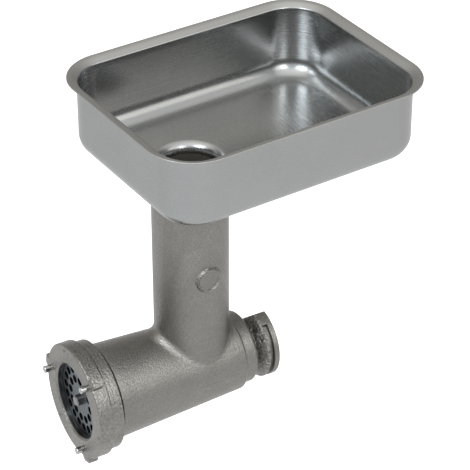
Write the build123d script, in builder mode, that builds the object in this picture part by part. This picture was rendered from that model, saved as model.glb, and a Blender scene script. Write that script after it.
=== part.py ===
"""Mincing head of an electric meat grinder.

A cast barrel with an upright feed neck carries a feed screw, a four-bladed knife and a
perforated plate, which a lugged ring nut clamps on the front. A deep-drawn feed tray
stands on the neck. The rear flange locks the head into the drive hub of the machine.

Millimetres. +Z is up, the barrel lies along Y and +Y points out of the rear flange.
The origin is the centre of the rear flange's rear face, on the barrel axis.
"""
import os
from math import cos, radians, sin, sqrt

from build123d import *

os.makedirs("parts", exist_ok=True)

# ---------------------------------------------------------------- driving dimensions
# along the barrel, measured from the axis of the feed neck
neck_to_rear_face = 69.0       # to the rear face of the flange
neck_to_front_face = 113.0     # to the front face of the ring nut
neck_to_shoulder = 36.0        # to the rear shoulder of the barrel
neck_to_bore_end = 33.0        # to the rear wall of the screw chamber

# casting
barrel_front_radius = 41.6
barrel_rear_radius = 34.4
barrel_bore_radius = 31.0
shoulder_round = 2.5
neck_radius = 32.0
neck_bore_radius = 26.0
neck_height = 201.0            # barrel axis to the top of the neck
neck_fillet = 9.0
neck_lead_in = 3.0             # chamfer in the mouth of the neck, under the tray's throat
rifle_count = 8
rifle_radius = 2.5
rifle_depth = 1.4
medallion_radius = 9.0
medallion_height = 107.0       # above the barrel axis
medallion_proud = 0.9

# rear coupling
boss_radius = 32.0
boss_length = 12.5
boss_round = 3.5
groove_radius = 22.0
groove_length = 9.5
groove_round = 2.5
groove_wall_lean = 6.0           # axial length of the groove's sloping rear wall
groove_crest_round = 3.0
flange_radius = 32.0
channel_offset = 5.0           # rear face of the flange to the channel in its rim
channel_width = 3.4
channel_depth = 2.6
channel_start_angle = 58.0       # the channel stops short of the flat on the near side
channel_arc = 240.0
flange_flat_distance = 21.0    # barrel axis to the flat milled on the flange
flange_flat_angle = 130.0      # direction of the flat's normal, from +X towards +Z
rear_bore_radius = 14.0
edge_break = 0.5

# front end
thread_radius = 41.5
relief_radius = 39.5
relief_width = 3.0
plate_seat_clearance = 0.25
plate_proud = 1.5              # plate in front of the barrel's front face
knife_chamber_radius = 33.0
running_clearance = 0.1

# ring nut
ring_radius = 50.5
ring_rear_radius = 47.5
ring_depth = 23.5
ring_front_band = 12.5
ring_band_step = 1.0            # length of the slope between the two bands
ring_lip_thickness = 6.0
ring_opening_radius = 33.0
ring_front_round = 1.5
ring_opening_bevel = 1.5
ring_thread_clearance = 0.35
lug_count = 3
lug_angle = 49.0               # first lug, from +X towards +Z
lug_width = 10.0
lug_rise = 5.5
lug_length = 10.5
lug_taper = 8.0
spanner_stud_radius = 3.0
spanner_stud_length = 7.0      # in front of the ring's face
stud_end_chamfer = 1.0
spanner_shank_radius = 2.2
spanner_shank_length = 5.0     # pressed into a blind socket of the lip
spanner_stud_inset = 7.5       # from the ring's outer radius to the stud's axis

# hole plate
plate_radius = 35.0
plate_thickness = 7.5
hole_radius = 3.6
inner_hole_circle = 18.0
inner_hole_count = 12
outer_hole_circle = 26.5
outer_hole_count = 18
key_pin_radius = 1.9
key_pin_reach = 2.8            # pin's reach inside the plate's rim
key_clearance = 0.2
key_angle = 90.0

# feed screw, knife and drive
screw_clearance = 0.8
core_rear_radius = 17.0
core_front_radius = 13.0
flight_pitch = 34.0
flight_root_width = 8.0
flight_tip_width = 4.5
flight_sink = 3.0              # root of the flight inside the core
flight_end_gap = 5.0           # free core at each end of the flight
journal_radius = 4.85
journal_past_plate = 5.0
square_across = 11.0
stud_thread_radius = 6.0
stud_thread_depth = 22.0
blade_count = 4
blade_reach = 31.5
blade_width = 12.0
knife_thickness = 9.0
blade_back_rise = 5.5          # fall of a blade's back, from its trailing to its cutting edge
knife_hub_radius = 12.0
knife_bore_clearance = 0.15
plate_gap = 0.2
shank_radius = 10.0
shank_seat_depth = 25.0        # shank pressed into the screw's core
bush_flange_radius = 17.0
bush_flange_thickness = 3.0
bush_end_recess = 15.0         # rear face of the flange to the rear end of the bush
tang_end_recess = 3.0
tang_length = 14.0
tang_thickness = 9.0
washer_thickness = 2.0
washer_radius = 20.0
grub_screw_radius = 3.0
grub_screw_angle = 60.0
grub_socket_across = 3.0
grub_socket_depth = 2.5

# feed tray
tray_width = 179.0             # outside, across the barrel
tray_length = 235.0            # outside, along the barrel
tray_depth = 67.8
tray_near_offset = 8.4         # tray centre from the neck axis, towards +X
tray_rear_offset = 48.0        # tray centre behind the neck axis
tray_turn = 3.3                # turn of the tray on the neck, degrees
tray_corner_radius = 33.0
tray_bottom_bend = 16.4
sheet = 1.2
rim_width = 8.0                 # out-turned rim, sloping up and outwards
rim_rise = 4.0
rim_thickness = 1.4             # upright, of the sloping sheet
throat_round = 4.0
spigot_length = 38.0
spigot_clearance = 0.3

# ---------------------------------------------------------------- derived places
neck_y = -neck_to_rear_face
front_y = neck_y - neck_to_front_face
ring_rear_y = front_y + ring_depth
plate_front_y = front_y + ring_lip_thickness + running_clearance
plate_rear_y = plate_front_y + plate_thickness
barrel_front_y = plate_front_y + plate_proud
knife_front_y = plate_rear_y + plate_gap
knife_rear_y = knife_front_y + knife_thickness
bore_end_y = neck_y + neck_to_bore_end
shoulder_y = neck_y + neck_to_shoulder
boss_end_y = shoulder_y + boss_length
flange_front_y = boss_end_y + groove_length
screw_radius = barrel_bore_radius - screw_clearance
plate_bore_radius = plate_radius + plate_seat_clearance
washer_front_y = bore_end_y - bush_flange_thickness - washer_thickness
screw_rear_y = washer_front_y - running_clearance
bush_end_y = -bush_end_recess
tang_end_y = -tang_end_recess
bush_bore_radius = shank_radius + running_clearance
throat_radius = neck_bore_radius - spigot_clearance - sheet
spigot_top = neck_height + sheet - throat_round


def save(item, name):
    """Label the finished piece and write it to its own STEP file."""
    item.part.label = name
    export_step(item.part, f"parts/{name}.step")


def around_barrel(angle, y, radius=0.0):
    """Plane facing outwards at an angle about the barrel axis, with its x along +Y."""
    outward = (cos(radians(angle)), 0, sin(radians(angle)))
    origin = (radius * outward[0], y, radius * outward[2])
    return Plane(origin=origin, x_dir=(0, 1, 0), z_dir=outward)


def facing_rear(y):
    """Plane across the barrel at a place along it, facing out of the rear, its x along -X."""
    return Plane(origin=(0, y, 0), x_dir=(-1, 0, 0), z_dir=(0, 1, 0))


# ---------------------------------------------------------------- casting
barrel_overrun = 20.0
with BuildPart() as grinder_body:
    # tapered barrel, first made longer than it ends up so that the neck fillet runs out on it
    with BuildSketch(Plane.XY) as barrel_side:
        with BuildLine():
            Polyline(
                (0, ring_rear_y),
                (barrel_front_radius, ring_rear_y),
                (barrel_rear_radius, shoulder_y + barrel_overrun),
                (0, shoulder_y + barrel_overrun),
                close=True,
            )
        make_face()
    revolve(axis=Axis.Y)
    with BuildSketch(Plane.XY) as neck_section:
        with Locations((0, neck_y)):
            Circle(neck_radius)
    extrude(amount=neck_height)
    saddle = (
        grinder_body.edges()
        .filter_by(GeomType.CIRCLE, reverse=True)
        .filter_by(GeomType.LINE, reverse=True)
    )
    fillet(saddle, radius=neck_fillet)
    # turned rear shoulder
    with BuildSketch(facing_rear(shoulder_y)):
        Circle(ring_radius + neck_fillet)
    extrude(amount=barrel_overrun + 1, mode=Mode.SUBTRACT)
    shoulder_rim = (
        grinder_body.faces().filter_by(Axis.Y).sort_by(Axis.Y)[-1].outer_wire().edges()
    )
    fillet(shoulder_rim.filter_by(GeomType.CIRCLE), radius=shoulder_round)
    # threaded front and the relief behind it
    with BuildSketch(Plane.XY) as front_side:
        with BuildLine():
            Polyline(
                (0, barrel_front_y),
                (thread_radius, barrel_front_y),
                (thread_radius, ring_rear_y - relief_width),
                (relief_radius, ring_rear_y - relief_width),
                (relief_radius, ring_rear_y + relief_width),
                (0, ring_rear_y + relief_width),
                close=True,
            )
        make_face()
    revolve(axis=Axis.Y)
    with BuildSketch(Plane.XY) as relief_ring:
        with Locations((relief_radius, ring_rear_y)):
            Rectangle(ring_radius - relief_radius, relief_width, align=(Align.MIN, Align.MIN))
    revolve(axis=Axis.Y, mode=Mode.SUBTRACT)
    # boss, clamping groove and flange
    with BuildSketch(Plane.XY) as coupling_side:
        with BuildLine():
            Polyline(
                (0, shoulder_y),
                (boss_radius, shoulder_y),
                (boss_radius, boss_end_y),
                (groove_radius, boss_end_y),
                (groove_radius, flange_front_y - groove_wall_lean),
                (flange_radius, flange_front_y),
                (flange_radius, 0),
                (0, 0),
                close=True,
            )
        make_face()
        corners = coupling_side.vertices()
        fillet(corners.sort_by_distance((boss_radius, boss_end_y))[0], radius=boss_round)
        fillet(corners.sort_by_distance((groove_radius, boss_end_y))[0], radius=groove_round)
        fillet(corners.sort_by_distance((groove_radius, flange_front_y - groove_wall_lean))[0], radius=groove_round)
        fillet(corners.sort_by_distance((flange_radius, flange_front_y))[0], radius=groove_crest_round)
        chamfer(corners.sort_by_distance((flange_radius, 0))[0], length=edge_break)
    revolve(axis=Axis.Y)
    start = radians(channel_start_angle)
    with BuildSketch(Plane(origin=(0, 0, 0), x_dir=(cos(start), 0, sin(start)), z_dir=(-sin(start), 0, cos(start)))):
        with Locations((flange_radius, -channel_offset)):
            Rectangle(2 * channel_depth, channel_width, align=(Align.CENTER, Align.MAX))
    revolve(axis=Axis.Y, revolution_arc=channel_arc, mode=Mode.SUBTRACT)
    flat_plane = around_barrel(flange_flat_angle, boss_end_y, flange_flat_distance)
    with BuildSketch(flat_plane):
        Rectangle(-boss_end_y + 1, 4 * flange_radius, align=(Align.MIN, Align.CENTER))
    extrude(amount=flange_radius, mode=Mode.SUBTRACT)
    # round medallion, left plain, on the near side of the neck
    with BuildSketch(Plane(origin=(0, neck_y, medallion_height), x_dir=(0, 1, 0), z_dir=(1, 0, 0))):
        Circle(medallion_radius)
    extrude(amount=neck_radius + medallion_proud)
    # bores: screw chamber, knife chamber, plate seat, rear bearing and feed neck
    with BuildSketch(Plane.XY) as bore_side:
        with BuildLine():
            Polyline(
                (0, barrel_front_y),
                (plate_bore_radius, barrel_front_y),
                (plate_bore_radius, plate_rear_y),
                (knife_chamber_radius, plate_rear_y),
                (knife_chamber_radius, knife_rear_y),
                (barrel_bore_radius, knife_rear_y + (knife_chamber_radius - barrel_bore_radius)),
                (barrel_bore_radius, bore_end_y),
                (rear_bore_radius, bore_end_y),
                (rear_bore_radius, 0),
                (0, 0),
                close=True,
            )
        make_face()
    revolve(axis=Axis.Y, mode=Mode.SUBTRACT)
    with BuildSketch(Plane.XY) as neck_bore:
        with Locations((0, neck_y)):
            Circle(neck_bore_radius)
    extrude(amount=neck_height, mode=Mode.SUBTRACT)
    neck_mouth = grinder_body.faces().sort_by(Axis.Z)[-1].inner_wires().edges()
    chamfer(neck_mouth, length=neck_lead_in)
    # straight rifling that keeps the meat from turning with the screw
    with BuildSketch(facing_rear(knife_rear_y)):
        with PolarLocations(barrel_bore_radius + rifle_depth - rifle_radius, rifle_count):
            Circle(rifle_radius)
    extrude(amount=neck_y - neck_bore_radius - knife_rear_y, mode=Mode.SUBTRACT)
    # pin hole for the plate's key and tapped hole for the bush's grub screw
    with BuildSketch(around_barrel(key_angle, plate_rear_y - plate_thickness / 2, plate_radius - key_pin_reach)):
        Circle(key_pin_radius)
    extrude(amount=thread_radius, mode=Mode.SUBTRACT)
    with BuildSketch(around_barrel(grub_screw_angle, boss_end_y + groove_length / 2)):
        Circle(grub_screw_radius)
    extrude(amount=groove_radius + 1, mode=Mode.SUBTRACT)
save(grinder_body, "grinder_body")

# ---------------------------------------------------------------- rear bearing
with BuildPart() as rear_bush:
    with BuildSketch(Plane.XY) as bush_side:
        with BuildLine():
            Polyline(
                (bush_bore_radius, bore_end_y - bush_flange_thickness),
                (bush_flange_radius, bore_end_y - bush_flange_thickness),
                (bush_flange_radius, bore_end_y),
                (rear_bore_radius, bore_end_y),
                (rear_bore_radius, bush_end_y),
                (bush_bore_radius, bush_end_y),
                close=True,
            )
        make_face()
    revolve(axis=Axis.Y)
    # shallow spot for the grub screw's point
    with BuildSketch(around_barrel(grub_screw_angle, boss_end_y + groove_length / 2, rear_bore_radius - edge_break)):
        Circle(grub_screw_radius)
    extrude(amount=edge_break + 1, mode=Mode.SUBTRACT)
save(rear_bush, "rear_bush")

with BuildPart() as bush_grub_screw:
    with BuildSketch(around_barrel(grub_screw_angle, boss_end_y + groove_length / 2, rear_bore_radius - edge_break)):
        Circle(grub_screw_radius)
    extrude(amount=groove_radius - rear_bore_radius - edge_break)
    chamfer(bush_grub_screw.edges(), length=edge_break / 2)
    outer_end = around_barrel(grub_screw_angle, boss_end_y + groove_length / 2, groove_radius - 2 * edge_break)
    with BuildSketch(outer_end):
        RegularPolygon(grub_socket_across / sqrt(3), 6)
    extrude(amount=-grub_socket_depth, mode=Mode.SUBTRACT)
save(bush_grub_screw, "bush_grub_screw")

with BuildPart() as thrust_washer:
    with BuildSketch(facing_rear(washer_front_y)):
        Circle(washer_radius)
        Circle(shank_radius + running_clearance, mode=Mode.SUBTRACT)
    extrude(amount=washer_thickness)
save(thrust_washer, "thrust_washer")

# ---------------------------------------------------------------- feed screw
core_length = screw_rear_y - knife_rear_y
with BuildPart() as feed_screw:
    with BuildSketch(Plane.XY) as core_side:
        with BuildLine():
            Polyline(
                (0, knife_rear_y),
                (core_front_radius, knife_rear_y),
                (core_rear_radius, screw_rear_y),
                (0, screw_rear_y),
                close=True,
            )
        make_face()
    revolve(axis=Axis.Y)
    flight_start = knife_rear_y + flight_end_gap
    flight_length = core_length - 2 * flight_end_gap
    with BuildLine() as flight_path:
        Helix(flight_pitch, flight_length, core_front_radius, center=(0, flight_start, 0), direction=(0, 1, 0))
    start = flight_path.line @ 0
    flight_frame = Plane(
        origin=(0, start.Y, 0),
        x_dir=Vector(start.X, 0, start.Z).normalized(),
        z_dir=Vector(start.X, 0, start.Z).normalized().cross(Vector(0, 1, 0)),
    )
    with BuildSketch(flight_frame) as flight_section:
        with BuildLine():
            Polyline(
                (core_front_radius - flight_sink, -flight_root_width / 2),
                (screw_radius, -flight_tip_width / 2),
                (screw_radius, flight_tip_width / 2),
                (core_front_radius - flight_sink, flight_root_width / 2),
                close=True,
            )
        make_face()
    sweep(path=flight_path.line, is_frenet=True)
    # sockets for the knife spindle and the drive shank
    with BuildSketch(facing_rear(knife_rear_y)):
        Circle(stud_thread_radius)
    extrude(amount=stud_thread_depth, mode=Mode.SUBTRACT)
    with BuildSketch(facing_rear(screw_rear_y)):
        Circle(shank_radius)
    extrude(amount=-shank_seat_depth, mode=Mode.SUBTRACT)
save(feed_screw, "feed_screw")

with BuildPart() as knife_spindle:
    with BuildSketch(facing_rear(plate_front_y - journal_past_plate)):
        Circle(journal_radius)
    extrude(amount=plate_thickness + plate_gap + journal_past_plate)
    chamfer(knife_spindle.edges().sort_by(Axis.Y)[0], length=stud_end_chamfer)
    with BuildSketch(facing_rear(knife_front_y)):
        RectangleRounded(square_across, square_across, edge_break)
    extrude(amount=knife_thickness)
    with BuildSketch(facing_rear(knife_rear_y)):
        Circle(stud_thread_radius)
    extrude(amount=stud_thread_depth)
save(knife_spindle, "knife_spindle")

with BuildPart() as drive_shank:
    with BuildSketch(facing_rear(screw_rear_y - shank_seat_depth)):
        Circle(shank_radius)
    extrude(amount=tang_end_y - tang_length - (screw_rear_y - shank_seat_depth))
    with BuildSketch(facing_rear(tang_end_y - tang_length)):
        Circle(shank_radius)
        Rectangle(2 * shank_radius, tang_thickness, mode=Mode.INTERSECT)
    extrude(amount=tang_length)
    chamfer(drive_shank.faces().sort_by(Axis.Y)[-1].edges(), length=edge_break)
save(drive_shank, "drive_shank")

# ---------------------------------------------------------------- knife
knife_bore = square_across + 2 * knife_bore_clearance
with BuildPart() as knife:
    with BuildSketch(facing_rear(knife_front_y)):
        Circle(knife_hub_radius)
        with PolarLocations(0, blade_count):
            with Locations((knife_hub_radius / 2, 0)):
                Rectangle(blade_reach - knife_hub_radius / 2, blade_width, align=(Align.MIN, Align.CENTER))
        Circle(blade_reach, mode=Mode.INTERSECT)
    extrude(amount=knife_thickness)
    # the back of each blade slopes away from its cutting edge
    for blade in range(blade_count):
        angle = blade * 360 / blade_count
        slope = around_barrel(angle, knife_rear_y, knife_hub_radius)
        with BuildSketch(slope):
            with BuildLine():
                Polyline(
                    (-blade_back_rise, blade_width / 2 + 1),
                    (1, blade_width / 2 + 1),
                    (1, -blade_width / 2),
                    (0, -blade_width / 2),
                    close=True,
                )
            make_face()
        extrude(amount=blade_reach, mode=Mode.SUBTRACT)
    with BuildSketch(facing_rear(knife_front_y)):
        Rectangle(knife_bore, knife_bore)
    extrude(amount=knife_thickness, mode=Mode.SUBTRACT)
save(knife, "knife")

# ---------------------------------------------------------------- hole plate and its pin
with BuildPart() as hole_plate:
    with BuildSketch(facing_rear(plate_front_y)):
        Circle(plate_radius)
        Circle(journal_radius + running_clearance, mode=Mode.SUBTRACT)
        with PolarLocations(inner_hole_circle, inner_hole_count):
            Circle(hole_radius, mode=Mode.SUBTRACT)
        with PolarLocations(outer_hole_circle, outer_hole_count):
            Circle(hole_radius, mode=Mode.SUBTRACT)
        with Locations((0, plate_radius)):
            Rectangle(
                2 * (key_pin_radius + key_clearance),
                2 * (key_pin_reach + key_clearance),
                mode=Mode.SUBTRACT,
            )
    extrude(amount=plate_thickness)
save(hole_plate, "hole_plate")

with BuildPart() as plate_key_pin:
    with BuildSketch(around_barrel(key_angle, plate_rear_y - plate_thickness / 2, plate_radius - key_pin_reach)):
        Circle(key_pin_radius)
    extrude(amount=thread_radius - plate_radius + key_pin_reach - edge_break)
save(plate_key_pin, "plate_key_pin")

# ---------------------------------------------------------------- ring nut
with BuildPart() as ring_nut:
    with BuildSketch(Plane.XY) as ring_side:
        with BuildLine():
            Polyline(
                (ring_opening_radius, front_y),
                (ring_radius, front_y),
                (ring_radius, front_y + ring_front_band),
                (ring_rear_radius, front_y + ring_front_band + ring_band_step),
                (ring_rear_radius, ring_rear_y),
                (thread_radius + ring_thread_clearance, ring_rear_y),
                (thread_radius + ring_thread_clearance, front_y + ring_lip_thickness),
                (ring_opening_radius, front_y + ring_lip_thickness),
                close=True,
            )
        make_face()
        corners = ring_side.vertices()
        fillet(corners.sort_by_distance((ring_radius, front_y))[0], radius=ring_front_round)
        chamfer(corners.sort_by_distance((ring_opening_radius, front_y))[0], length=ring_opening_bevel)
        chamfer(corners.sort_by_distance((ring_rear_radius, ring_rear_y))[0], length=edge_break)
    revolve(axis=Axis.Y)
    # three lugs for the spanner
    for lug in range(lug_count):
        angle = lug_angle + lug * 360 / lug_count
        with BuildSketch(around_barrel(angle, front_y + ring_front_round, ring_radius - lug_rise)):
            Rectangle(lug_length, lug_width, align=(Align.MIN, Align.CENTER))
        extrude(amount=2 * lug_rise, taper=lug_taper)
    # sockets of the spanner studs
    with BuildSketch(facing_rear(front_y)):
        with PolarLocations(ring_radius - spanner_stud_inset, lug_count, start_angle=180 - lug_angle):
            Circle(spanner_shank_radius)
    extrude(amount=spanner_shank_length, mode=Mode.SUBTRACT)
save(ring_nut, "ring_nut")

with BuildPart() as spanner_studs:
    with BuildSketch(facing_rear(front_y - spanner_stud_length)):
        with PolarLocations(ring_radius - spanner_stud_inset, lug_count, start_angle=180 - lug_angle):
            Circle(spanner_stud_radius)
    extrude(amount=spanner_stud_length)
    front_rims = spanner_studs.edges().group_by(Axis.Y)[0]
    chamfer(front_rims, length=stud_end_chamfer)
    # thinner shank behind the shoulder, pressed into the ring
    with BuildSketch(facing_rear(front_y)):
        with PolarLocations(ring_radius - spanner_stud_inset, lug_count, start_angle=180 - lug_angle):
            Circle(spanner_shank_radius)
    extrude(amount=spanner_shank_length)
save(spanner_studs, "spanner_studs")

# ---------------------------------------------------------------- feed tray
tray_frame = Plane(origin=(0, neck_y, 0), x_dir=(cos(radians(tray_turn)), sin(radians(tray_turn)), 0), z_dir=(0, 0, 1))
tray_base = tray_frame.offset(neck_height)
tray_rim = tray_frame.offset(neck_height + tray_depth)
tray_centre = (tray_near_offset, tray_rear_offset)
with BuildPart() as tray_pan:
    with BuildSketch(tray_base):
        with Locations(tray_centre):
            RectangleRounded(tray_width, tray_length, tray_corner_radius)
    extrude(amount=tray_depth - rim_rise)
    bottom_rim = tray_pan.faces().sort_by(Axis.Z)[0].outer_wire().edges()
    fillet(bottom_rim, radius=tray_bottom_bend)
    offset(amount=-sheet, openings=tray_pan.faces().sort_by(Axis.Z)[-1])
    # out-turned rim with its hem
    with BuildSketch(tray_rim.offset(-rim_rise - rim_thickness)):
        with Locations(tray_centre):
            RectangleRounded(tray_width, tray_length, tray_corner_radius)
    with BuildSketch(tray_rim.offset(-rim_thickness)):
        with Locations(tray_centre):
            RectangleRounded(tray_width + 2 * rim_width, tray_length + 2 * rim_width, tray_corner_radius + rim_width)
    loft(ruled=True)
    with BuildSketch(tray_rim):
        with Locations(tray_centre):
            RectangleRounded(tray_width + 2 * rim_width, tray_length + 2 * rim_width, tray_corner_radius + rim_width)
    extrude(amount=-rim_thickness)
    with BuildSketch(tray_rim.offset(-rim_rise)):
        with Locations(tray_centre):
            RectangleRounded(tray_width - 2 * sheet, tray_length - 2 * sheet, tray_corner_radius - sheet)
    with BuildSketch(tray_rim):
        with Locations(tray_centre):
            RectangleRounded(
                tray_width + 2 * rim_width - 2 * edge_break,
                tray_length + 2 * rim_width - 2 * edge_break,
                tray_corner_radius + rim_width - edge_break,
            )
    loft(ruled=True, mode=Mode.SUBTRACT)
    with BuildSketch(tray_rim.offset(-rim_rise)):
        with Locations(tray_centre):
            RectangleRounded(tray_width - 2 * sheet, tray_length - 2 * sheet, tray_corner_radius - sheet)
    extrude(amount=-rim_thickness, mode=Mode.SUBTRACT)
    with BuildSketch(tray_base):
        Circle(throat_radius + throat_round)
    extrude(amount=sheet, mode=Mode.SUBTRACT)
    lip_centre = (throat_radius + throat_round, spigot_top)
    with BuildSketch(Plane(origin=(0, neck_y, 0), x_dir=(1, 0, 0), z_dir=(0, -1, 0))) as throat_side:
        with BuildLine():
            CenterArc(lip_centre, throat_round, 90, 90)
            CenterArc(lip_centre, throat_round - sheet, 90, 90)
            Line((throat_radius + throat_round, neck_height + sheet), (throat_radius + throat_round, neck_height))
            Line((throat_radius, spigot_top), (throat_radius + sheet, spigot_top))
        make_face()
    revolve(axis=Axis((0, neck_y, 0), (0, 0, 1)))
save(tray_pan, "tray_pan")

with BuildPart() as tray_spigot:
    with BuildSketch(tray_frame.offset(spigot_top)):
        Circle(throat_radius + sheet)
        Circle(throat_radius, mode=Mode.SUBTRACT)
    extrude(amount=-spigot_length)
save(tray_spigot, "tray_spigot")
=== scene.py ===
"""Mincing head of a meat grinder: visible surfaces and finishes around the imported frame.

Lengths in the classes of the pieces are millimetres, as a drawing gives them, and turn into
metres when a mesh is built; the studio and the finishes' patterns are in metres. +Z is up,
the barrel lies along Y and +Y points out of the rear flange.
"""

import logging
import math
from dataclasses import dataclass, field
from enum import Enum
from typing import Callable, Dict, List, Optional, Sequence, Tuple, Union

import bmesh
import bpy
import numpy as np
from mathutils import Matrix

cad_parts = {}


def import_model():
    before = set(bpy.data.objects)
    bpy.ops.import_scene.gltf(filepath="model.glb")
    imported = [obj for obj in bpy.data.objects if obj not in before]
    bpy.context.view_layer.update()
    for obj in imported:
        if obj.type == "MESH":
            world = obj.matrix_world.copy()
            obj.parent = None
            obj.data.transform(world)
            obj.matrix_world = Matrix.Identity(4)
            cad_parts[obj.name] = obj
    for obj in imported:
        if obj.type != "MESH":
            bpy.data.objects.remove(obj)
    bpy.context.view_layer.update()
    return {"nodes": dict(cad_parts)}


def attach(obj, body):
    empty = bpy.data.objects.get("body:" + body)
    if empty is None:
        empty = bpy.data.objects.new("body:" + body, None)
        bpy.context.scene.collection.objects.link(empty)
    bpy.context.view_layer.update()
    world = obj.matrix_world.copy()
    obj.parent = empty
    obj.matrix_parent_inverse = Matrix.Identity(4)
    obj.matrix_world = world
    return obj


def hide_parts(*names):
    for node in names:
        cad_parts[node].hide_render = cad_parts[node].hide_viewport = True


LOG = logging.getLogger("mincing_head")
MM = 0.001
WELD = 2e-6          # metres within which the points of two grids become one
TAU = 2.0 * math.pi

Grid = np.ndarray
Corner = Tuple[float, float, float]


# --------------------------------------------------------------------- shapes
def rounded_profile(corners: Sequence[Corner], step: float = 0.35, closed: bool = False) -> np.ndarray:
    """Polyline through the corners with each corner turned into a tangent arc.

    An arc of radius r leaves both sides of a corner at r / tan(half the inside angle), and
    its points turn evenly about its centre on the corner's bisector.

    Args:
        corners: (first, second, radius) of each corner, in millimetres.
        step: largest distance between two points of an arc.
        closed: whether the last corner joins the first.

    Returns:
        Array of (first, second) points.
    """
    points = np.array([c[:2] for c in corners], float)
    radii = [c[2] for c in corners]
    count = len(points)
    line: List[np.ndarray] = []
    for i in range(count):
        here = points[i]
        if radii[i] <= 0 or (not closed and i in (0, count - 1)):
            line.append(here)
            continue
        back = points[i - 1] - here
        ahead = points[(i + 1) % count] - here
        back /= np.linalg.norm(back)
        ahead /= np.linalg.norm(ahead)
        half = 0.5 * math.acos(float(np.clip(back @ ahead, -1.0, 1.0)))
        leave = radii[i] / math.tan(half)
        centre = here + (back + ahead) / np.linalg.norm(back + ahead) * radii[i] / math.sin(half)
        first = here + back * leave - centre
        last = here + ahead * leave - centre
        start = math.atan2(first[1], first[0])
        turn = off_angle(math.atan2(last[1], last[0]), start)
        steps = max(3, math.ceil(abs(turn) * radii[i] / step), math.ceil(abs(turn) / 0.3))
        angles = start + turn * np.linspace(0.0, 1.0, steps + 1)
        line.extend(centre + radii[i] * np.stack([np.cos(angles), np.sin(angles)], 1))
    return np.array(line)


def subdivide(line: np.ndarray, longest: float) -> np.ndarray:
    """Split the runs of a polyline so that no run is longer than a length.

    Args:
        line: (n, 2) points.
        longest: longest run, in the line's own unit.

    Returns:
        (m, 2) points that pass through all the given ones.
    """
    lengths = np.linalg.norm(np.diff(line, axis=0), axis=1)
    parts = np.maximum(1, np.ceil(lengths / longest - 1e-9)).astype(int)
    spots = np.concatenate([k + np.arange(n) / n for k, n in enumerate(parts)] + [[len(line) - 1.0]])
    index = np.arange(len(line))
    return np.stack([np.interp(spots, index, line[:, 0]), np.interp(spots, index, line[:, 1])], 1)


def smoothstep(low: float, high: float, value: np.ndarray) -> np.ndarray:
    """0 below low, 1 above high, and 3t^2 - 2t^3 between them."""
    t = np.clip((value - low) / (high - low), 0.0, 1.0)
    return t * t * (3.0 - 2.0 * t)


def off_angle(angle: np.ndarray, centre: float, period: float = TAU) -> np.ndarray:
    """Signed way from a centre to an angle, between minus and plus half a period."""
    return (angle - centre + period / 2) % period - period / 2


def round_barrel(y: np.ndarray, radius: np.ndarray, phi: np.ndarray) -> Grid:
    """Points about the barrel's axis, (r cos p, y, r sin p), with p from +X towards +Z."""
    return np.stack(np.broadcast_arrays(radius * np.cos(phi), y, radius * np.sin(phi)), 2)


def round_neck(axis_y: float, radius: np.ndarray, theta: np.ndarray, z: np.ndarray) -> Grid:
    """Points about the neck's upright axis: (r cos t, axis_y + r sin t, z)."""
    return np.stack(np.broadcast_arrays(radius * np.cos(theta), axis_y + radius * np.sin(theta), z), 2)


def revolve_y(profile: np.ndarray, angles: np.ndarray) -> Grid:
    """Grid of a profile of (y, radius) points turned about the barrel's axis."""
    return round_barrel(profile[:, :1], profile[:, 1:], angles)


def reach(grid: Grid) -> np.ndarray:
    """Distance of each point of a grid from the barrel's axis."""
    return np.hypot(grid[..., 0], grid[..., 2])


def at_reach(grid: Grid, wanted: np.ndarray) -> Grid:
    """Grid whose points are moved straight to a wanted distance from the barrel's axis."""
    scale = wanted / np.maximum(reach(grid), 1e-6)
    return np.stack([grid[..., 0] * scale, grid[..., 1], grid[..., 2] * scale], 2)


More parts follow.
